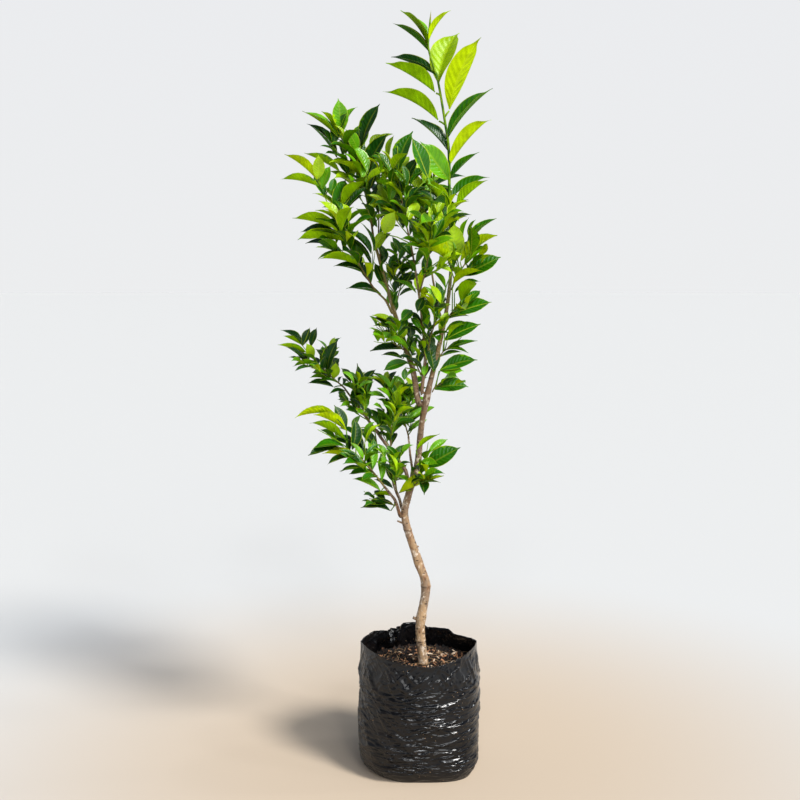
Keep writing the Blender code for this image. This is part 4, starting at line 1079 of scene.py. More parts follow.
# Leaves that stand clear of their masses: where the tip and the foot of each are seen in the camera's frame, across
# and down, its tone, which paints the light and shade on that leaf, how far its upper face is rolled from upward to
# the front, in degrees, and how far its tip leans to the front, as a share of its length.
CLEAR_LEAVES = {
    "leader": (
        ((400, 10), (428, 46), 0.64, 20, 0),
        ((392, 23), (428, 52), 0.24, 20, 0.1),
        ((451, 10), (430, 42), 0.74, 0, 0),
        ((385, 63), (436, 93), 0.62, -25, 0.1),
        ((391, 57), (435, 76), 0.20, 20, -0.1),
        ((460, 32), (440, 84), 0.76, 36, -0.25),
        ((481, 37), (449, 111), 0.74, -40, 0.3),
        ((382, 91), (439, 121), 0.60, -25, 0.1),
        ((493, 88), (450, 139), 0.36, 30, 0.1),
        ((411, 118), (446, 152), 0.12, 36, 0),
        ((492, 119), (452, 166), 0.70, -15, 0),
        ((480, 152), (452, 180), 0.34, 32, 0.1),
        ((420, 141), (448, 181), 0.66, 72, 0.3),
        ((490, 177), (452, 200), 0.36, 32, -0.1),
        ((488, 180), (456, 207), 0.64, -25, 0.2),
        ((423, 178), (448, 214), 0.56, -25, 0.3),
    ),
    "upper_right": (
        ((455, 222), (456, 262), 0.72, 78, 0.2),
        ((497, 218), (467, 242), 0.46, 20, 0),
        ((498, 235), (460, 262), 0.70, -25, 0.1),
        ((502, 257), (464, 276), 0.44, 50, 0.1),
        ((469, 217), (463, 240), 0.40, 20, 0),
        ((476, 219), (469, 237), 0.56, 20, -0.1),
        ((463, 213), (452, 234), 0.24, 20, 0.1),
    ),
    "mid_right": (
        ((484, 271), (453, 285), 0.82, -25, 0.3),
        ((481, 281), (455, 293), 0.30, 20, 0.2),
        ((496, 302), (452, 317), 0.34, 50, 0.1),
        ((469, 316), (449, 321), 0.36, 20, 0.1),
    ),
    "right_twig": (
        ((481, 324), (444, 341), 0.34, 50, 0.1),
        ((466, 322), (445, 332), 0.60, 20, 0.3),
        ((478, 341), (445, 351), 0.34, 20, 0.1),
        ((462, 352), (441, 359), 0.46, 20, 0.1),
    ),
    "low_twig": (
        ((481, 360), (441, 371), 0.42, 50, 0.1),
        ((464, 371), (440, 371), 0.66, 50, 0.3),
        ((469, 387), (437, 391), 0.34, 50, 0.1),
    ),
    "upper_left": (
        ((302, 111), (338, 137), 0.50, 20, 0.1),
        ((306, 123), (337, 158), 0.22, 20, 0),
        ((338, 98), (341, 133), 0.50, 78, 0.2),
        ((321, 111), (339, 135), 0.74, -25, -0.2),
        ((358, 106), (345, 132), 0.52, 20, -0.1),
        ((347, 113), (339, 134), 0.40, 50, 0.5),
        ((380, 104), (362, 144), 0.22, 50, 0.1),
        ((345, 129), (358, 150), 0.56, 78, 0.6),
        ((389, 133), (367, 176), 0.24, 50, 0.2),
        ((304, 153), (340, 172), 0.54, -25, 0),
        ((349, 134), (352, 160), 0.12, 50, 0.3),
        ((363, 130), (360, 152), 0.20, 20, -0.3),
        ((377, 171), (370, 190), 0.20, 50, 0),
    ),
    "upper_back": (
        ((394, 135), (389, 158), 0.78, -25, -0.3),
    ),
    "far_left": (
        ((284, 154), (316, 181), 0.82, -25, 0.1),
        ((280, 179), (319, 188), 0.66, -25, 0),
        ((318, 154), (317, 180), 0.92, 78, 0.3),
        ((331, 165), (323, 190), 0.58, 50, 0.1),
        ((331, 193), (334, 178), 0.40, 50, 0.4),
        ((292, 218), (341, 232), 0.52, -19, 0.1),
        ((296, 240), (344, 243), 0.60, -25, 0.15),
        ((300, 232), (338, 234), 0.08, 20, -0.3),
        ((319, 259), (358, 267), 0.54, -25, 0.1),
        ((333, 266), (366, 273), 0.14, 20, 0),
        ((346, 289), (381, 294), 0.18, 20, 0.1),
        ((366, 180), (341, 207), 0.62, -25, 0.35),
        ((344, 197), (337, 214), 0.34, 20, 0),
        ((313, 175), (327, 196), 0.30, 50, -0.2),
    ),
    "mid_left": (
        ((372, 315), (396, 327), 0.72, 20, 0.1),
        ((373, 326), (395, 330), 0.56, 20, 0),
        ((377, 333), (402, 342), 0.20, 20, 0.1),
        ((370, 351), (402, 350), 0.18, 20, 0.1),
        ((381, 355), (403, 359), 0.22, 20, 0.2),
        ((405, 323), (401, 339), 0.82, 78, 0.4),
        ((401, 322), (412, 311), 0.42, 50, 0.3),
        ((385, 319), (397, 322), 0.18, 50, 0.1),
    ),
    "middle": (
        ((413, 131), (396, 172), 0.34, 50, 0),
        ((376, 152), (394, 178), 0.34, 50, 0.1),
        ((374, 180), (401, 194), 0.30, -25, 0.2),
        ((419, 157), (401, 192), 0.20, 50, 0.25),
        ((411, 136), (428, 178), 0.44, 62, 0.2),
        ((395, 211), (384, 234), 0.84, 78, 0.5),
        ((391, 197), (401, 222), 0.22, 50, 0.3),
    ),
    "front": (
        ((417, 233), (451, 256), 0.80, -25, 0.3),
        ((415, 245), (453, 264), 0.72, -25, 0.35),
    ),
    "heart": (
        ((433, 264), (452, 272), 0.78, 50, 0.3),
        ((429, 284), (440, 304), 0.74, 50, 0.4),
        ((428, 306), (441, 320), 0.44, 50, 0.3),
        ((420, 300), (424, 331), 0.34, 20, 0.2),
        ((404, 318), (423, 338), 0.46, 20, 0.1),
        ((425, 338), (434, 372), 0.16, 50, -0.1),
        ((431, 270), (446, 288), 0.30, -25, 0.2),
        ((420, 329), (411, 318), 0.30, 50, 0.2),
        ((438, 330), (446, 320), 0.70, 50, 0.4),
        ((417, 313), (424, 297), 0.12, 50, 0.3),
        ((434, 347), (429, 334), 0.16, 50, 0.2),
    ),
    "left_heart": (
        ((390, 266), (415, 270), 0.10, -25, 0.1),
        ((396, 289), (412, 272), 0.08, 50, 0.1),
        ((392, 290), (400, 306), 0.50, 50, 0.2),
        ((374, 262), (386, 290), 0.24, 50, -0.1),
        ((388, 306), (394, 292), 0.56, 50, 0.2),
        ((379, 268), (388, 284), 0.30, 50, 0.1),
        ((377, 243), (386, 262), 0.22, 50, 0.1),
        ((399, 253), (390, 270), 0.44, 50, 0.2),
        ((396, 312), (392, 296), 0.34, 50, 0.2),
    ),
    "fork": (
        ((376, 371), (404, 362), 0.38, 50, 0.1),
        ((410, 341), (409, 322), 0.16, 50, 0.2),
        ((415, 312), (402, 324), 0.34, 50, 0.2),
        ((402, 300), (411, 330), 0.20, 50, 0.2),
        ((428, 360), (432, 346), 0.42, 50, 0.2),
        ((424, 377), (428, 362), 0.68, 50, 0.4),
        ((404, 381), (405, 368), 0.28, 78, 0.2),
        ((406, 377), (415, 371), 0.60, 20, 0.1),
        ((394, 367), (404, 363), 0.46, 20, 0.2),
        ((413, 354), (414, 341), 0.62, 78, 0.2),
        ((398, 346), (405, 338), 0.34, 50, 0.2),
    ),
    "long_bough": (
        ((271, 345), (303, 353), 0.50, -25, 0.1),
        ((280, 330), (304, 346), 0.14, 20, 0),
        ((283, 336), (301, 346), 0.64, -25, 0.1),
        ((310, 324), (303, 346), 0.20, 50, 0),
        ((317, 326), (311, 347), 0.18, 50, 0.1),
        ((286, 347), (306, 361), 0.08, 20, 0.1),
        ((306, 343), (312, 360), 0.74, 78, 0.4),
        ((338, 340), (328, 372), 0.12, 50, 0.1),
        ((336, 362), (333, 380), 0.70, 78, 0.3),
        ((292, 367), (317, 366), 0.30, -25, 0.1),
        ((309, 378), (328, 379), 0.44, -25, 0.1),
        ((307, 383), (334, 387), 0.24, 20, 0.1),
        ((329, 397), (346, 393), 0.40, 20, 0.1),
        ((326, 355), (322, 374), 0.10, 50, 0.2),
    ),
    "inner_bough": (
        ((357, 363), (356, 399), 0.12, 50, 0.2),
        ((341, 368), (353, 382), 0.14, 50, 0.1),
        ((374, 377), (362, 402), 0.16, 50, 0),
        ((361, 415), (352, 430), 0.68, 50, 0.3),
        ((358, 428), (377, 446), 0.20, 50, 0.3),
    ),
    "low_left": (
        ((287, 418), (331, 414), 0.82, -35, 0.1),
        ((313, 415), (346, 431), 0.74, -25, 0.3),
        ((309, 423), (346, 441), 0.66, -25, 0),
        ((334, 405), (346, 430), 0.12, 50, -0.2),
        ((322, 454), (360, 459), 0.70, -25, 0.3),
        ((330, 441), (356, 448), 0.08, 20, 0),
        ((349, 457), (366, 466), 0.10, 20, 0.1),
        ((349, 474), (375, 471), 0.42, 20, 0.1),
        ((352, 479), (381, 491), 0.48, 20, 0.1),
    ),
    "low_bough": (
        ((371, 495), (394, 497), 0.50, -25, 0.1),
        ((360, 508), (391, 511), 0.20, 20, 0.1),
        ((372, 502), (394, 509), 0.12, 20, 0.2),
    ),
    "inner_low": (
        ((369, 408), (378, 428), 0.30, 50, 0.2),
        ((385, 389), (397, 412), 0.14, 50, 0.1),
        ((366, 397), (386, 398), 0.60, 20, 0.2),
        ((399, 387), (397, 412), 0.74, 50, 0.2),
    ),
    "low_right": (
        ((440, 434), (416, 451), 0.58, -25, 0),
        ((461, 447), (425, 468), 0.44, 50, 0.1),
    ),
    "low_front": (
        ((439, 464), (413, 472), 0.66, 20, 0.3),
        ((444, 476), (399, 493), 0.80, -25, 0.4),
        ((446, 474), (420, 478), 0.30, 20, 0.1),
    ),
    "low_back": (
        ((390, 379), (404, 392), 0.62, 20, 0.1),
        ((435, 407), (424, 414), 0.58, 20, 0),
    ),
}
# Leaves at the very front, set by their places: where on the stem each starts, in percent, across and height of its
# foot and across, back and height of its tip, in millimetres, its tone, which paints the light and shade on it, and
# its roll.
FOREMOST_LEAVES = {
    "front": (
        (97, 17, 1219, 10, -192, 1216, 0.52, 50),
        (80, 20, 1185, 44, -190, 1180, 0.42, 20),
        (62, 24, 1150, -4, -186, 1142, 0.58, 20),
    ),
}
FRAME_SIZE = 800
SENSOR_WIDTH = 36
FRAME_FOCUS = FRAME_SIZE * CAMERA_LENS / SENSOR_WIDTH
# A clear leaf's foot is on the stem where it is seen this near to it. Otherwise a short twig carries it, which leaves
# the stem lower down by this share of its own length. A tip that the mass's reach moves by more than the allowance
# takes part of the foot along.
STEM_SPOTS = 201
FOOT_ON_STEM = 0.008
FOOT_TWIG_SETBACK = 0.9
TIP_MARGIN = 0.004
TIP_ALLOWANCE = 0.004
FOOT_FOLLOWS = 0.6
FRONT = Vector((0.15, -1, 0))
# How the leader sways as it grew, as heights and distances across in millimetres.
LEADER_BENDS = (
    (1190, 59),
    (1253, 59),
    (1288, 58),
    (1316, 56),
    (1341, 52),
    (1394, 43),
    (1440, 34),
    (1461, 27),
    (1479, 21),
    (1498, 16),
    (1510, 15),
    (1533, 17),
    (1556, 19),
)

SPRAY_STEP = 0.034
FINER_PITCH = 0.80
# Masses of small leaves stand nearer the trunk and are twiggier, and those with little room are sparse.
SMALL_LEAF = 0.071
SMALL_PITCH = 0.80
LITTLE_ROOM = 0.7
SPARSE_PITCH = 2.2
MORE_SMALL_TWIGS = 2
# Between the leaves that stand out, a shoot's other leaves are smaller and stay off its tip.
MANY_OUTER = 9
FILLER_SIZE = 0.85
FILLER_END = 0.66
# A leaf that stands out is this wide for its length, and narrower where it turns its underside to the front.
OUTER_WIDTH = 0.52
BROADSIDE_ROLL = -40
BROADSIDE_WIDTH = 0.40
# How strongly a leaf that stands out is folded along its midrib, by its roll in degrees.
FOLD_BY_ROLL = ((-40, 0.56), (-25, 0.74), (20, 0.74), (50, 0.50), (80, 0.32))
# A leaf that stands out has a short twig where its foot is further than this off the stem, thicker on the leader.
FOOT_OFF_STEM = 0.004
FOOT_TWIG_TAPER = (1, 0.9, 0.8)
FOOT_TWIG_ARCH = 0.06
LEADER_STALK = 1.6
# Small leaves also stand along the bough itself.
CLOTHED_PITCH = 0.015
CLOTHED_SIZE = 0.85
# Twigs: how often and by what turn one is tried again, its angle to the stem, its length by its place, how it curves
# up, and the turn from one to the next. Angles are in degrees.
TWIG_TRIES = 5
TWIG_NEXT_TURN = 67
TWIG_SHRINK = 0.9
TWIG_RADIUS = 0.0013
TWIG_ANGLE = 40
TWIG_ANGLE_SPREAD = 8
TWIG_RANGE = (0.80, 1.15)
TWIG_LONGEST = 1.10
TWIG_SHORTENING = 0.35
TWIG_LIFT = 0.18
TWIG_BARE = 0.12
TWIG_SEGMENTS = 4
TWIG_LEAF_SIZE = 0.92
TWIG_TURN = 137.5
FIRST_TWIG = 0.3
LAST_TWIG = 0.90
TWIGLET_PLACE = 0.42
TWIGLET_LENGTH = 0.50
TWIGLET_LEAST = 0.026
# Leaves: their angle to the shoot at its foot and at its tip, the spread of that and of their roll and turn, their
# size, the turn from one to the next, and how strongly each lifts its tip and wanders from facing the light.
LEAF_ANGLE_LOW = 63
LEAF_ANGLE_TIP = 44
LEAF_ANGLE_SPREAD = 9
LEAF_ROLL_SPREAD = 20
LEAF_TURN_SPREAD = 10
LEAF_LARGER = 1.10
LEAF_SIZE_RANGE = (0.82, 1.14)
LEAF_RANGE = 0.30
LEAF_TURN = 177
FIRST_LEAF_TURN = (-35, 35)
LEAF_LIFT = 0.14
LEAF_WANDER = 0.42
LEAF_TRIES = 6
LEAF_SHRINK = 0.94
LEAF_TONE_RISE = 0.30
LEAF_TONE_SPREAD = 0.36
# The leaf at a shoot's tip lies nearly in line with it, as if it stood that many lengths along.
TIP_LEAF_PLACE = 0.98
TIP_LEAF_SHARE = 1.6
TIP_LEAF_SIZE = 0.62
# Leaf tips may pass the solid mass's box by this much.
REACH_SPARE = 0.009
LIGHTWARD = Vector((0.20, -0.45, 0.10))
UP = Vector((0, 0, 1))

Leaf = namedtuple("Leaf", "frame length tone draw width fold")


def turned(vector, axis, degrees):
    return Matrix.Rotation(math.radians(degrees), 3, axis) @ vector


def across_from(onward):
    """A level direction square to a shoot."""
    side = onward.cross(UP)
    return side.normalized() if side.length > 0.3 else Vector((1, 0, 0))


def leaf_frame(place, way, facing):
    """A frame whose X runs along the leaf and whose Z is its upper face."""
    upper = square_to(way, facing)
    side = upper.cross(way)
    turn = Matrix((way, side, upper)).transposed().to_4x4()
    return Matrix.Translation(place) @ turn


def solid_tree(name):
    """The faces of one CAD solid, for crossing tests."""
    mesh = frame["nodes"][name].data
    return BVHTree.FromPolygons([v.co for v in mesh.vertices], [p.vertices for p in mesh.polygons])


limb_trees = [solid_tree(name) for name in ("trunk", *bough_names)]
placed_blades = []


def blade_tree(leaf_place, length):
    """A leaf's middle part as a flat arched strip, for crossing tests."""
    corners = []
    for share, half, rise in ((0.22, 0.10, 0.03), (0.50, 0.15, 0.06), (0.80, 0.08, 0.02)):
        corners += [leaf_place @ Vector((length * share, length * half * side, length * rise)) for side in (-1, 1)]
    return BVHTree.FromPolygons(corners, [(0, 2, 3, 1), (2, 4, 5, 3)])


def is_free(tree, middle, reach):
    """True if a blade crosses no limb and no other blade near it."""
    if any(tree.overlap(limb) for limb in limb_trees):
        return False
    for other, centre, radius in placed_blades:
        if (centre - middle).length < radius + reach and tree.overlap(other):
            return False
    return True


def seen_at(places):
    """Where places are seen in the camera's frame, across and down."""
    dip = math.radians(CAMERA_DIP)
    across, away, up = (places - np.array(CAMERA_PLACE)).T
    deep = away * math.cos(dip) - up * math.sin(dip)
    rise = away * math.sin(dip) + up * math.cos(dip)
    return FRAME_SIZE / 2 + FRAME_FOCUS * np.stack([across / deep, -rise / deep], -1)


def place_seen(spot, back):
    """The place that is seen at a spot of the camera's frame, where it lies a given distance back."""
    dip = math.radians(CAMERA_DIP)
    aside, lift = (spot[0] - FRAME_SIZE / 2) / FRAME_FOCUS, (FRAME_SIZE / 2 - spot[1]) / FRAME_FOCUS
    away = back - CAMERA_PLACE[1]
    up = (lift * away * math.cos(dip) - away * math.sin(dip)) / (math.cos(dip) + lift * math.sin(dip))
    deep = away * math.cos(dip) - up * math.sin(dip)
    return np.array([CAMERA_PLACE[0] + aside * deep, back, CAMERA_PLACE[2] + up])


class Spray:
    """One mass of leaves while it grows: its stem, its twigs and its leaves, inside the reach of its solid."""

    def __init__(self, plan):
        self.plan = plan
        self.draw = random.Random(plan.name + "_foliage")
        self.stem = limb_path(paths[plan.parent], plan, SPRAY_STEP)
        if plan.name == "leader":
            self.stem = [(Vector((across / 1000, 0, height / 1000)), plan.base) for height, across in LEADER_BENDS]
        self.twigs = []
        self.leaves = []
        small = plan.leaf < SMALL_LEAF
        outer = len(CLEAR_LEAVES.get(plan.name, ())) + len(FOREMOST_LEAVES.get(plan.name, ()))
        thin_out = outer >= MANY_OUTER or (outer and not small)
        self.filler, self.end = (FILLER_SIZE, FILLER_END) if thin_out else (1.0, 1.0)
        self.pitch = plan.pitch * (SMALL_PITCH if small else FINER_PITCH)
        self.pitch *= SPARSE_PITCH if plan.room < LITTLE_ROOM else 1
        self.more_twigs = MORE_SMALL_TWIGS if small and not thin_out else 0
        low, high = (Vector(corner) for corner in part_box(plan.name + "_foliage"))
        middle, spare = (low + high) / 2, Vector((REACH_SPARE,) * 3)
        room = Vector((plan.room, 1, plan.room))
        self.low = middle - (high - low + 2 * spare) * room / 2
        self.high = middle + (high - low + 2 * spare) * room / 2

    def spread(self, most):
        return self.draw.uniform(-most, most)

    def inside(self, point):
        return all(low <= value <= high for low, value, high in zip(self.low, point, self.high))

    def set_leaf(self, place, way, facing, length, tone, width=None, fold=None):
        """Adds one leaf if it stays in the mass's reach and crosses nothing. One of a given width is always added."""
        leaf_place = leaf_frame(place, way, facing)
        tree = blade_tree(leaf_place, length)
        middle = leaf_place @ Vector((length / 2, 0, 0))
        if not width and not (self.inside(place + way * length) and is_free(tree, middle, length / 2)):
            return False
        placed_blades.append((tree, middle, length / 2))
        self.leaves.append(Leaf(leaf_place, length, tone, random.Random(len(placed_blades)), width, fold))
        return True

    def add_leaf(self, place, onward, side, share, size):
        """Tries a few ways of setting one leaf, and skips it if none is free."""
        angle = LEAF_ANGLE_LOW + (LEAF_ANGLE_TIP - LEAF_ANGLE_LOW) * share
        for attempt in range(LEAF_TRIES):
            lean = math.radians(angle + self.spread(LEAF_ANGLE_SPREAD))
            out = turned(side, onward, self.spread(LEAF_ROLL_SPREAD))
            way = onward * math.cos(lean) + out * math.sin(lean)
            way = (way + UP * LEAF_LIFT).normalized()
            wander = Vector([self.spread(LEAF_WANDER) for _ in range(3)])
            length = LEAF_LARGER * size * self.draw.uniform(*LEAF_SIZE_RANGE) * LEAF_SHRINK**attempt
            tone = self.plan.tone + LEAF_TONE_RISE * (min(share, 1.0) - 0.5) + self.spread(LEAF_TONE_SPREAD)
            if self.set_leaf(place, way, UP + LIGHTWARD + wander, length, tone):
                return

    def leaf_out(self, path, size, start):
        """Sets leaves alternately along a shoot, and one at its tip."""
        total = sum(steps_of(path))
        count = max(2, round(total * (1 - start) / self.pitch))
        whole = path[-1][0] - path[0][0]
        side = whole.cross(UP + LIGHTWARD).normalized()
        side = turned(side, whole, self.draw.uniform(*FIRST_LEAF_TURN))
        for i in range(count):
            share = (i + 0.5) / count
            if path is self.stem and share > self.end:
                return
            place, onward, _ = along(path, start + (1 - start) * share)
            out = square_to(onward, side)
            grown = 1 - LEAF_RANGE * (1 - math.sin(math.pi * share))
            self.add_leaf(place, onward, out, share, size * grown)
            side = turned(side, onward, LEAF_TURN + self.spread(LEAF_TURN_SPREAD))
        place, onward, _ = along(path, TIP_LEAF_PLACE)
        self.add_leaf(place, onward, across_from(onward), TIP_LEAF_SHARE, size * TIP_LEAF_SIZE)

    def add_twig(self, stem, share, side, length):
        """A side twig that bends up, turned round its stem and shortened until it has room."""
        place, onward, _ = along(stem, share)
        for _ in range(TWIG_TRIES):
            out = square_to(onward, side)
            lean = math.radians(TWIG_ANGLE + self.spread(TWIG_ANGLE_SPREAD))
            way = onward * math.cos(lean) + out * math.sin(lean)
            path = [(place, TWIG_RADIUS)]
            for i in range(TWIG_SEGMENTS):
                way = (way + UP * TWIG_LIFT * 2 / TWIG_SEGMENTS).normalized()
                radius = TWIG_RADIUS + (TIP_RADIUS - TWIG_RADIUS) * (i + 1) / TWIG_SEGMENTS
                path.append((path[-1][0] + way * length / TWIG_SEGMENTS, radius))
            if self.inside(path[-1][0]):
                break
            side = turned(side, onward, TWIG_NEXT_TURN)
            length *= TWIG_SHRINK
        else:
            return
        self.twigs.append(path)
        if length > 2 * TWIGLET_LEAST:
            self.add_twig(path, TWIGLET_PLACE, turned(side, onward, TWIG_TURN), length * TWIGLET_LENGTH)
        self.leaf_out(path, self.plan.leaf * TWIG_LEAF_SIZE * self.filler, TWIG_BARE)

    def grow(self):
        """Sets the twigs round the stem, each with its leaves, and then the stem's own leaves."""
        plan = self.plan
        if not plan.twigs:
            return
        whole = self.stem[-1][0] - self.stem[0][0]
        side = turned(across_from(whole), whole, self.draw.uniform(0, 360))
        twigs = plan.twigs + self.more_twigs
        for i in range(twigs):
            share = plan.bare + (LAST_TWIG * self.end - plan.bare) * (i + FIRST_TWIG) / twigs
            length = plan.twig * self.draw.uniform(*TWIG_RANGE) * (TWIG_LONGEST - TWIG_SHORTENING * share)
            self.add_twig(self.stem, share, side, length)
            side = turned(side, along(self.stem, share)[1], TWIG_TURN)
        self.leaf_out(self.stem, plan.leaf * self.filler, plan.bare)
        if plan.parent != "trunk":
            self.clothe(paths[plan.parent])

    def clothe(self, bough):
        """Sets small leaves along the stretch of the bough that lies in the mass's reach."""
        total = sum(steps_of(bough))
        side = turned(across_from(bough[-1][0] - bough[0][0]), UP, self.draw.uniform(0, 360))
        for i in range(1, int(total / CLOTHED_PITCH)):
            place, onward, radius = along(bough, i * CLOTHED_PITCH / total)
            side = turned(side, onward, TWIG_TURN)
            out = square_to(onward, side)
            if self.inside(place):
                self.add_leaf(place + out * radius, onward, out, 0.5, self.plan.leaf * CLOTHED_SIZE * self.filler)

    def clear_places(self, tip_spot, foot_spot, forward):
        """Where on the stem a clear leaf starts, in percent, and its foot's and tip's places, to the millimetre."""
        stem = np.array([tuple(place) for place, _ in self.stem])
        run = np.concatenate([[0], np.cumsum(np.linalg.norm(np.diff(stem, axis=0), axis=1))])
        spots = np.linspace(0, run[-1], STEM_SPOTS)
        line = np.stack([np.interp(spots, run, stem[:, axis]) for axis in range(3)], -1)
        nearest = int(np.hypot(*(seen_at(line) - np.array(foot_spot)).T).argmin())
        start, share = line[nearest], spots[nearest] / run[-1]
        foot = place_seen(foot_spot, start[1])
        off_stem = np.linalg.norm(foot - start)
        if off_stem < FOOT_ON_STEM:
            foot, off_stem = start, 0
        else:
            share = max(0.0, share - FOOT_TWIG_SETBACK * off_stem / run[-1])
        low, high = (np.array(corner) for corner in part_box(self.plan.name + "_foliage"))
        low, high = low - REACH_SPARE, high + REACH_SPARE
        length = np.linalg.norm(place_seen(tip_spot, start[1]) - foot)
        back = min(max(start[1] - forward * length, low[1] + TIP_MARGIN), high[1] - TIP_MARGIN)
        wanted = place_seen(tip_spot, back)
        tip = np.clip(wanted, low, high)
        if off_stem and np.linalg.norm(tip - wanted) > TIP_ALLOWANCE:
            foot = foot + (tip - wanted) * FOOT_FOLLOWS
        return round(share * 100), *(round(value * 1000) for value in (foot[0], foot[2], *tip))

    def grow_outer(self):
        """Sets the leaves that stand out of the mass, each on a short twig where its foot is off the stem."""
        clear = CLEAR_LEAVES.get(self.plan.name, ())
        rows = [(*self.clear_places(tip, foot, forward), tone, roll) for tip, foot, tone, roll, forward in clear]
        rows += FOREMOST_LEAVES.get(self.plan.name, ())
        for share, foot_across, foot_height, *tip, tone, roll in sorted(rows, key=lambda row: -row[0]):
            place, _, _ = along(self.stem, share / 100)
            foot = Vector((foot_across / 1000, place.y, foot_height / 1000))
            if (foot - place).length > FOOT_OFF_STEM:
                bend = place.lerp(foot, 0.5) + UP * FOOT_TWIG_ARCH * (foot - place).length
                thick = TWIG_RADIUS * (LEADER_STALK if self.plan.name == "leader" else 1)
                self.twigs.append([(spot, part * thick) for spot, part in zip((place, bend, foot), FOOT_TWIG_TAPER)])
            reach = Vector(tip) / 1000 - foot
            way = reach.normalized()
            upward, forward = square_to(way, UP), square_to(way, FRONT)
            facing = upward * math.cos(math.radians(roll)) + forward * math.sin(math.radians(roll))
            fold = float(np.interp(roll, *zip(*FOLD_BY_ROLL)))
            width = BROADSIDE_WIDTH if roll <= BROADSIDE_ROLL else OUTER_WIDTH
            self.set_leaf(foot, way, facing, reach.length, tone, width, fold)


sprays = [Spray(Foliage(*row)) for row in FOLIAGE]
for spray in sprays:
    spray.grow_outer()
for spray in sprays:
    spray.grow()

# ---------------------------------------------------------------- stems and twigs
# The shoots that carry the leaves: thin woody stems, brown towards the bough, and green twigs and tips where the
# wood is of this year. A slender reddish bud spike stands at the leader's tip.

WOODY_SHARE = 0.55
STEM_STEP = 0.008
STEM_TIP_RADIUS = 1.3 * TIP_RADIUS
LEADER_TIP_RADIUS = 0.0019
STEM_SIDES = 8
TWIG_SIDES = 6
BUD_LENGTH = 0.026
BUD_RADIUS = 0.0016
BUD_SUNK = 0.35
BUD_SIDES = 8
# The bud's outline, as shares of its length and of its radius.
BUD_OUTLINE = ((0, 0.5), (0.15, 1.0), (0.4, 0.9), (0.7, 0.5), (1, 0.1))


woody_stems, green_shoots = Heap(), Heap()
for spray in sprays:
    woody, base, tip_radius = WOODY_SHARE, spray.plan.base, STEM_TIP_RADIUS
    if spray.plan.name == "leader":
        woody, base, tip_radius = 0.0, NEW_WOOD_RADIUS, LEADER_TIP_RADIUS
    stem = tapered(through([place for place, _ in spray.stem], STEM_STEP), base, tip_radius)
    split = round((len(stem) - 1) * woody)
    if split:
        woody_stems.add(*closed_tube(stem[: split + 1], STEM_SIDES))
    green_shoots.add(*closed_tube(stem[split:], STEM_SIDES))
    for twig in spray.twigs:
        green_shoots.add(*closed_tube(twig, TWIG_SIDES))

STEM_BROWN = (0.150, 0.088, 0.036)
STEM_OLIVE = (0.190, 0.165, 0.045)
SHOOT_GREEN = (0.240, 0.390, 0.002)
SHOOT_DARK = (0.035, 0.120, 0.002)
BUD_RED = (0.330, 0.130, 0.040)
SHOOT_GLOSS = 0.2
mass_nodes = [spray.plan.name + "_foliage" for spray in sprays]


def mottled_finish(name, first, second, roughness, scale=45):
    """A smooth plant skin whose colour wanders gently between two."""
    material, tree, shader = new_finish(name, roughness)
    shader.inputs["Specular IOR Level"].default_value = SHOOT_GLOSS
    mottle = ramp(tree, cloud(tree, scale, detail=3), (0.38, first), (0.62, second))
    tree.links.new(mottle, shader.inputs["Base Color"])
    return material


woody_stems.piece("woody_stems", mottled_finish("woody_stems", STEM_BROWN, STEM_OLIVE, 0.7), "bark", *mass_nodes)
shoot_finish = mottled_finish("green_shoots", SHOOT_DARK, SHOOT_GREEN, 0.45)
green_shoots.piece("green_shoots", shoot_finish, "leaves", *mass_nodes)

bud = Heap()
tip, onward, _ = along(sprays[0].stem, 1)
bud_path = []
for share, wide in BUD_OUTLINE:
    bud_path.append((tip + onward * BUD_LENGTH * (share - BUD_SUNK), BUD_RADIUS * wide))
bud.add(*closed_tube(bud_path, BUD_SIDES))
bud.piece("tip_bud", mottled_finish("tip_bud", BUD_RED, SHOOT_GREEN, 0.5, 160), "leaves")

# ---------------------------------------------------------------- leaves
# Leathery, glossy leaves, longer than wide, each folded along its midrib and arched, with a drawn-out drip tip. The
# blade has a pale matt underside, painted brighter with the light that shines through it, a yellow-green stalk that
# runs on as the midrib, and a thin pale margin.

LEAF_WIDTH = 0.45
LEAF_WIDTH_RANGE = (0.88, 1.10)
# The share of a leaf's length that is bare stalk, and how far the blade arches in radians, on the leaves of the rule
# and on those that stand out.
LEAF_BASE, OUTER_BASE = 0.06, 0.02
LEAF_ARCH, OUTER_ARCH = (0.40, 1.0), (0.15, 0.60)
LEAF_DRIP = (0.0, 0.6)
LEAF_FOLD = (0.45, 0.95)
LEAF_SWEEP = 0.10
LEAF_TWIST = 0.30
MARGIN_WAVE = (0.01, 0.055)
BLADE_THICKNESS = 0.0004
# Faces along a leaf and across each half, plain and where the leader's large leaves show their veins.
PLAIN_FACES = (8, 2)
RIBBED_FACES = (44, 5)
STALK_SIDES = 4
MIDRIB_STEPS = 40
STALK_RADIUS = 0.0013
MIDRIB_RADIUS = 0.0007
MIDRIB_TIP_RADIUS = 0.0003
VEIN_COUNT = 10
VEIN_SLANT = 1.7
VEIN_RISE = 0.00010
VEIN_BUMP = 0.0005
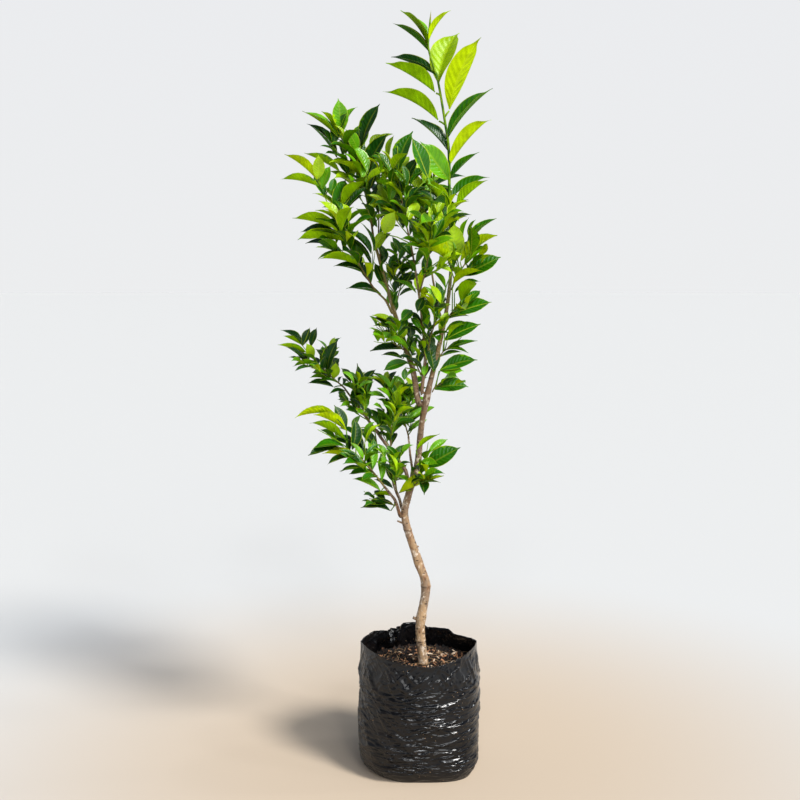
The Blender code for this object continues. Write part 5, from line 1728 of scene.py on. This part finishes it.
# Each class of leaf colour by the tone where it ends: name, upper tone, upper face and underside. Besides age the
# classes are lit and shaded copies: deep paints the shade inside the crown, bright and young paint sunlit and glossy
# leaves, and every underside is painted brighter for the light that shines through it.
LEAF_AGE_AND_LIGHT_CLASSES = (
    ("deep", 0.26, (0.005, 0.046, 0.002), (0.035, 0.125, 0.0005)),
    ("mid", 0.48, (0.020, 0.125, 0.0005), (0.100, 0.265, 0.0005)),
    ("bright", 0.70, (0.100, 0.310, 0.0005), (0.250, 0.450, 0.0005)),
    ("young", 9.00, (0.310, 0.500, 0.0005), (0.420, 0.570, 0.0005)),
)
MARGIN_COLOUR = (0.46, 0.54, 0.02)
MARGIN_SHARE = 0.65
MIDRIB_COLOUR = (0.50, 0.57, 0.04)
MIDRIB_SHARE = 0.22
STALK_GREEN = (0.30, 0.42, 0.02)
LEAF_WANDER_SHADE = 0.22


def leaf_sheet(stations, half_columns):
    """The plain outline of a leaf before it is bent: a grid primitive read as shares along it and across it."""
    bpy.ops.object.select_all(action="DESELECT")
    bpy.ops.mesh.primitive_grid_add(x_subdivisions=stations, y_subdivisions=2 * half_columns, size=2)
    sheet = bpy.context.object
    places = np.array([vert.co for vert in sheet.data.vertices])
    faces = np.array([list(face.vertices) for face in sheet.data.polygons])
    bpy.data.objects.remove(sheet)
    return 1 - ((1 - places[:, 0]) / 2) ** 1.25, places[:, 1], faces


def blade_width(share):
    """Half width of the blade, as a share of its widest, with the drawn-out tip."""
    share = np.clip(share, 0, 1)
    body = np.sin(np.pi * share**0.95) ** 0.90
    return np.maximum(body * (1 - 0.62 * smoothstep((share - 0.78) / 0.16)), 0.03 + 0.05 * (share < 0.05))


class LeafForm:
    """The bends of one leaf: its arch, fold, drip tip, side sweep and wavy margin."""

    def __init__(self, leaf):
        draw = leaf.draw
        width = leaf.width or LEAF_WIDTH
        self.start = leaf.length * (OUTER_BASE if leaf.width else LEAF_BASE)
        self.blade = leaf.length - self.start
        self.half = leaf.length * width * draw.uniform(*LEAF_WIDTH_RANGE) / 2
        self.arch = draw.uniform(*(OUTER_ARCH if leaf.width else LEAF_ARCH))
        self.drip = draw.uniform(*LEAF_DRIP)
        self.fold = leaf.fold or draw.uniform(*LEAF_FOLD)
        self.sweep = draw.uniform(-LEAF_SWEEP, LEAF_SWEEP)
        self.twist = draw.uniform(-LEAF_TWIST, LEAF_TWIST)
        self.wave = draw.uniform(*MARGIN_WAVE) * self.half
        self.phase = draw.uniform(0, math.tau)
        self.veins = 0.0

    def midrib(self, share):
        """Place of the midrib and its upward direction at shares of the blade, in the leaf's own plane."""
        slope = self.arch * 0.55
        fine = np.linspace(0, 1, MIDRIB_STEPS + 1)
        angle = slope - self.arch * fine - self.drip * np.clip((fine - 0.82) / 0.18, 0, 1) ** 2
        between = (angle[1:] + angle[:-1]) / 2
        x = np.concatenate([[0], np.cumsum(np.cos(between))]) * self.blade / MIDRIB_STEPS + self.start
        z = np.concatenate([[0], np.cumsum(np.sin(between))]) * self.blade / MIDRIB_STEPS
        z -= z[-1] * fine
        at = np.interp(share, fine, angle)
        sway = self.sweep * self.blade * 2.4 * share * (1 - share)
        place = np.stack([np.interp(share, fine, x), sway, np.interp(share, fine, z)], -1)
        return place, np.stack([-np.sin(at), np.zeros_like(at), np.cos(at)], -1)

    def surface(self, share, across, lift=0.0):
        """Points of the blade at shares along and across it."""
        middle, upward = self.midrib(share)
        half = self.half * blade_width(share)
        side = np.abs(across)
        fold = self.fold * (1.15 - 0.45 * share)
        rise = side * half * np.sin(fold) - 0.12 * half * side**2
        rise += self.wave * side**1.5 * np.sin(math.tau * 1.6 * share + self.phase + (across > 0) * 1.7)
        if self.veins:
            rib = np.sin(math.tau * (VEIN_COUNT * share - VEIN_SLANT * side**1.3))
            rise += self.veins * rib * np.clip(4 * side * (1.08 - side), 0, 1) * np.clip(3 * (1 - share), 0, 1)
        flat = across * half * np.cos(fold)
        turn = self.twist * share
        sideways = np.array([0.0, 1.0, 0.0])
        points = middle + (flat * np.cos(turn))[:, None] * sideways + (flat * np.sin(turn))[:, None] * upward
        return points + (rise + lift)[:, None] * upward


def placed(leaf, points):
    """Points from the leaf's own frame to where it grows."""
    turn = np.array(leaf.frame)
    return points @ turn[:3, :3].T + turn[:3, 3]


plain_sheet = leaf_sheet(*PLAIN_FACES)
ribbed_sheet = leaf_sheet(*RIBBED_FACES)
stalk_shares = np.linspace(0, 0.97, 8)
blades = {name: Heap() for name, *_ in LEAF_AGE_AND_LIGHT_CLASSES}
undersides = {name: Heap() for name, *_ in LEAF_AGE_AND_LIGHT_CLASSES}
stalks = Heap()


def make_leaf(leaf, ribbed):
    """Adds one leaf's upper face, underside, and stalk with midrib to their heaps."""
    share, across, faces = ribbed_sheet if ribbed else plain_sheet
    form = LeafForm(leaf)
    form.veins = VEIN_RISE if ribbed else 0.0
    # The class paints the light and shade on a leaf as well as its age.
    kind = next(name for name, upper, *_ in LEAF_AGE_AND_LIGHT_CLASSES if leaf.tone < upper)
    spots = np.stack([share, across], -1)
    blades[kind].add(placed(leaf, form.surface(share, across)), faces, spots)
    thin = -BLADE_THICKNESS * (1 - across**4) * (1 - (2 * share - 1) ** 8)
    undersides[kind].add(placed(leaf, form.surface(share, across, thin)), faces[:, ::-1], spots)
    spine, _ = form.midrib(stalk_shares)
    path = [(Vector((0, 0, 0)), STALK_RADIUS)]
    for place, along_it in zip(spine, stalk_shares):
        path.append((Vector(place), MIDRIB_RADIUS + (MIDRIB_TIP_RADIUS - MIDRIB_RADIUS) * along_it))
    points, tube = closed_tube(path, STALK_SIDES)
    stalks.add(placed(leaf, points), tube)


for spray in sprays:
    for leaf in spray.leaves:
        make_leaf(leaf, ribbed=spray.plan.name == "leader")


def leaf_finish(name, colour, vein_colour, vein_share, roughness, gloss):
    """A leathery leaf skin with slanted side veins, a paler midrib and a thin pale margin."""
    material, tree, shader = new_finish(name, roughness)
    shader.inputs["Specular IOR Level"].default_value = gloss
    share, across = pattern_parts(tree)
    side = combined(tree, "ABSOLUTE", across, 0)
    slant = times(tree, combined(tree, "POWER", side, 1.3), math.tau * VEIN_SLANT)
    phase = combined(tree, "SUBTRACT", times(tree, share, math.tau * VEIN_COUNT), slant)
    wave = combined(tree, "SINE", phase, 0)
    between = ramp(tree, side, (0.02, 0.0), (0.12, 1.0), (0.80, 1.0), (0.96, 0.0))
    vein = times(tree, ramp(tree, wave, (0.80, 0.0), (1.0, vein_share)), between)
    dark = tuple(part * (1 - LEAF_WANDER_SHADE) for part in colour)
    light = tuple(part * (1 + LEAF_WANDER_SHADE) for part in colour)
    ground = ramp(tree, cloud(tree, 38, detail=2), (0.35, dark), (0.65, light))
    ground = mixed(tree, vein, ground, vein_colour)
    ground = mixed(tree, ramp(tree, side, (0.02, MIDRIB_SHARE), (0.13, 0.0)), ground, MIDRIB_COLOUR)
    ground = mixed(tree, ramp(tree, side, (0.90, 0.0), (0.97, MARGIN_SHARE)), ground, MARGIN_COLOUR)
    tree.links.new(ground, shader.inputs["Base Color"])
    bump(tree, shader, times(tree, wave, between), VEIN_BUMP, 0.5)
    return material


for name, _, upper_colour, under_colour in LEAF_AGE_AND_LIGHT_CLASSES:
    upper_finish = leaf_finish(name + "_leaf", upper_colour, under_colour, 0.20, 0.30, 0.36)
    under_finish = leaf_finish(name + "_underside", under_colour, upper_colour, 0.30, 0.65, 0.05)
    blades[name].piece(name + "_leaves", upper_finish, "leaves", *mass_nodes)
    undersides[name].piece(name + "_undersides", under_finish, "leaves")
stalks.piece("leaf_stalks", mottled_finish("leaf_stalk", MIDRIB_COLOUR, STALK_GREEN, 0.45), "leaves")
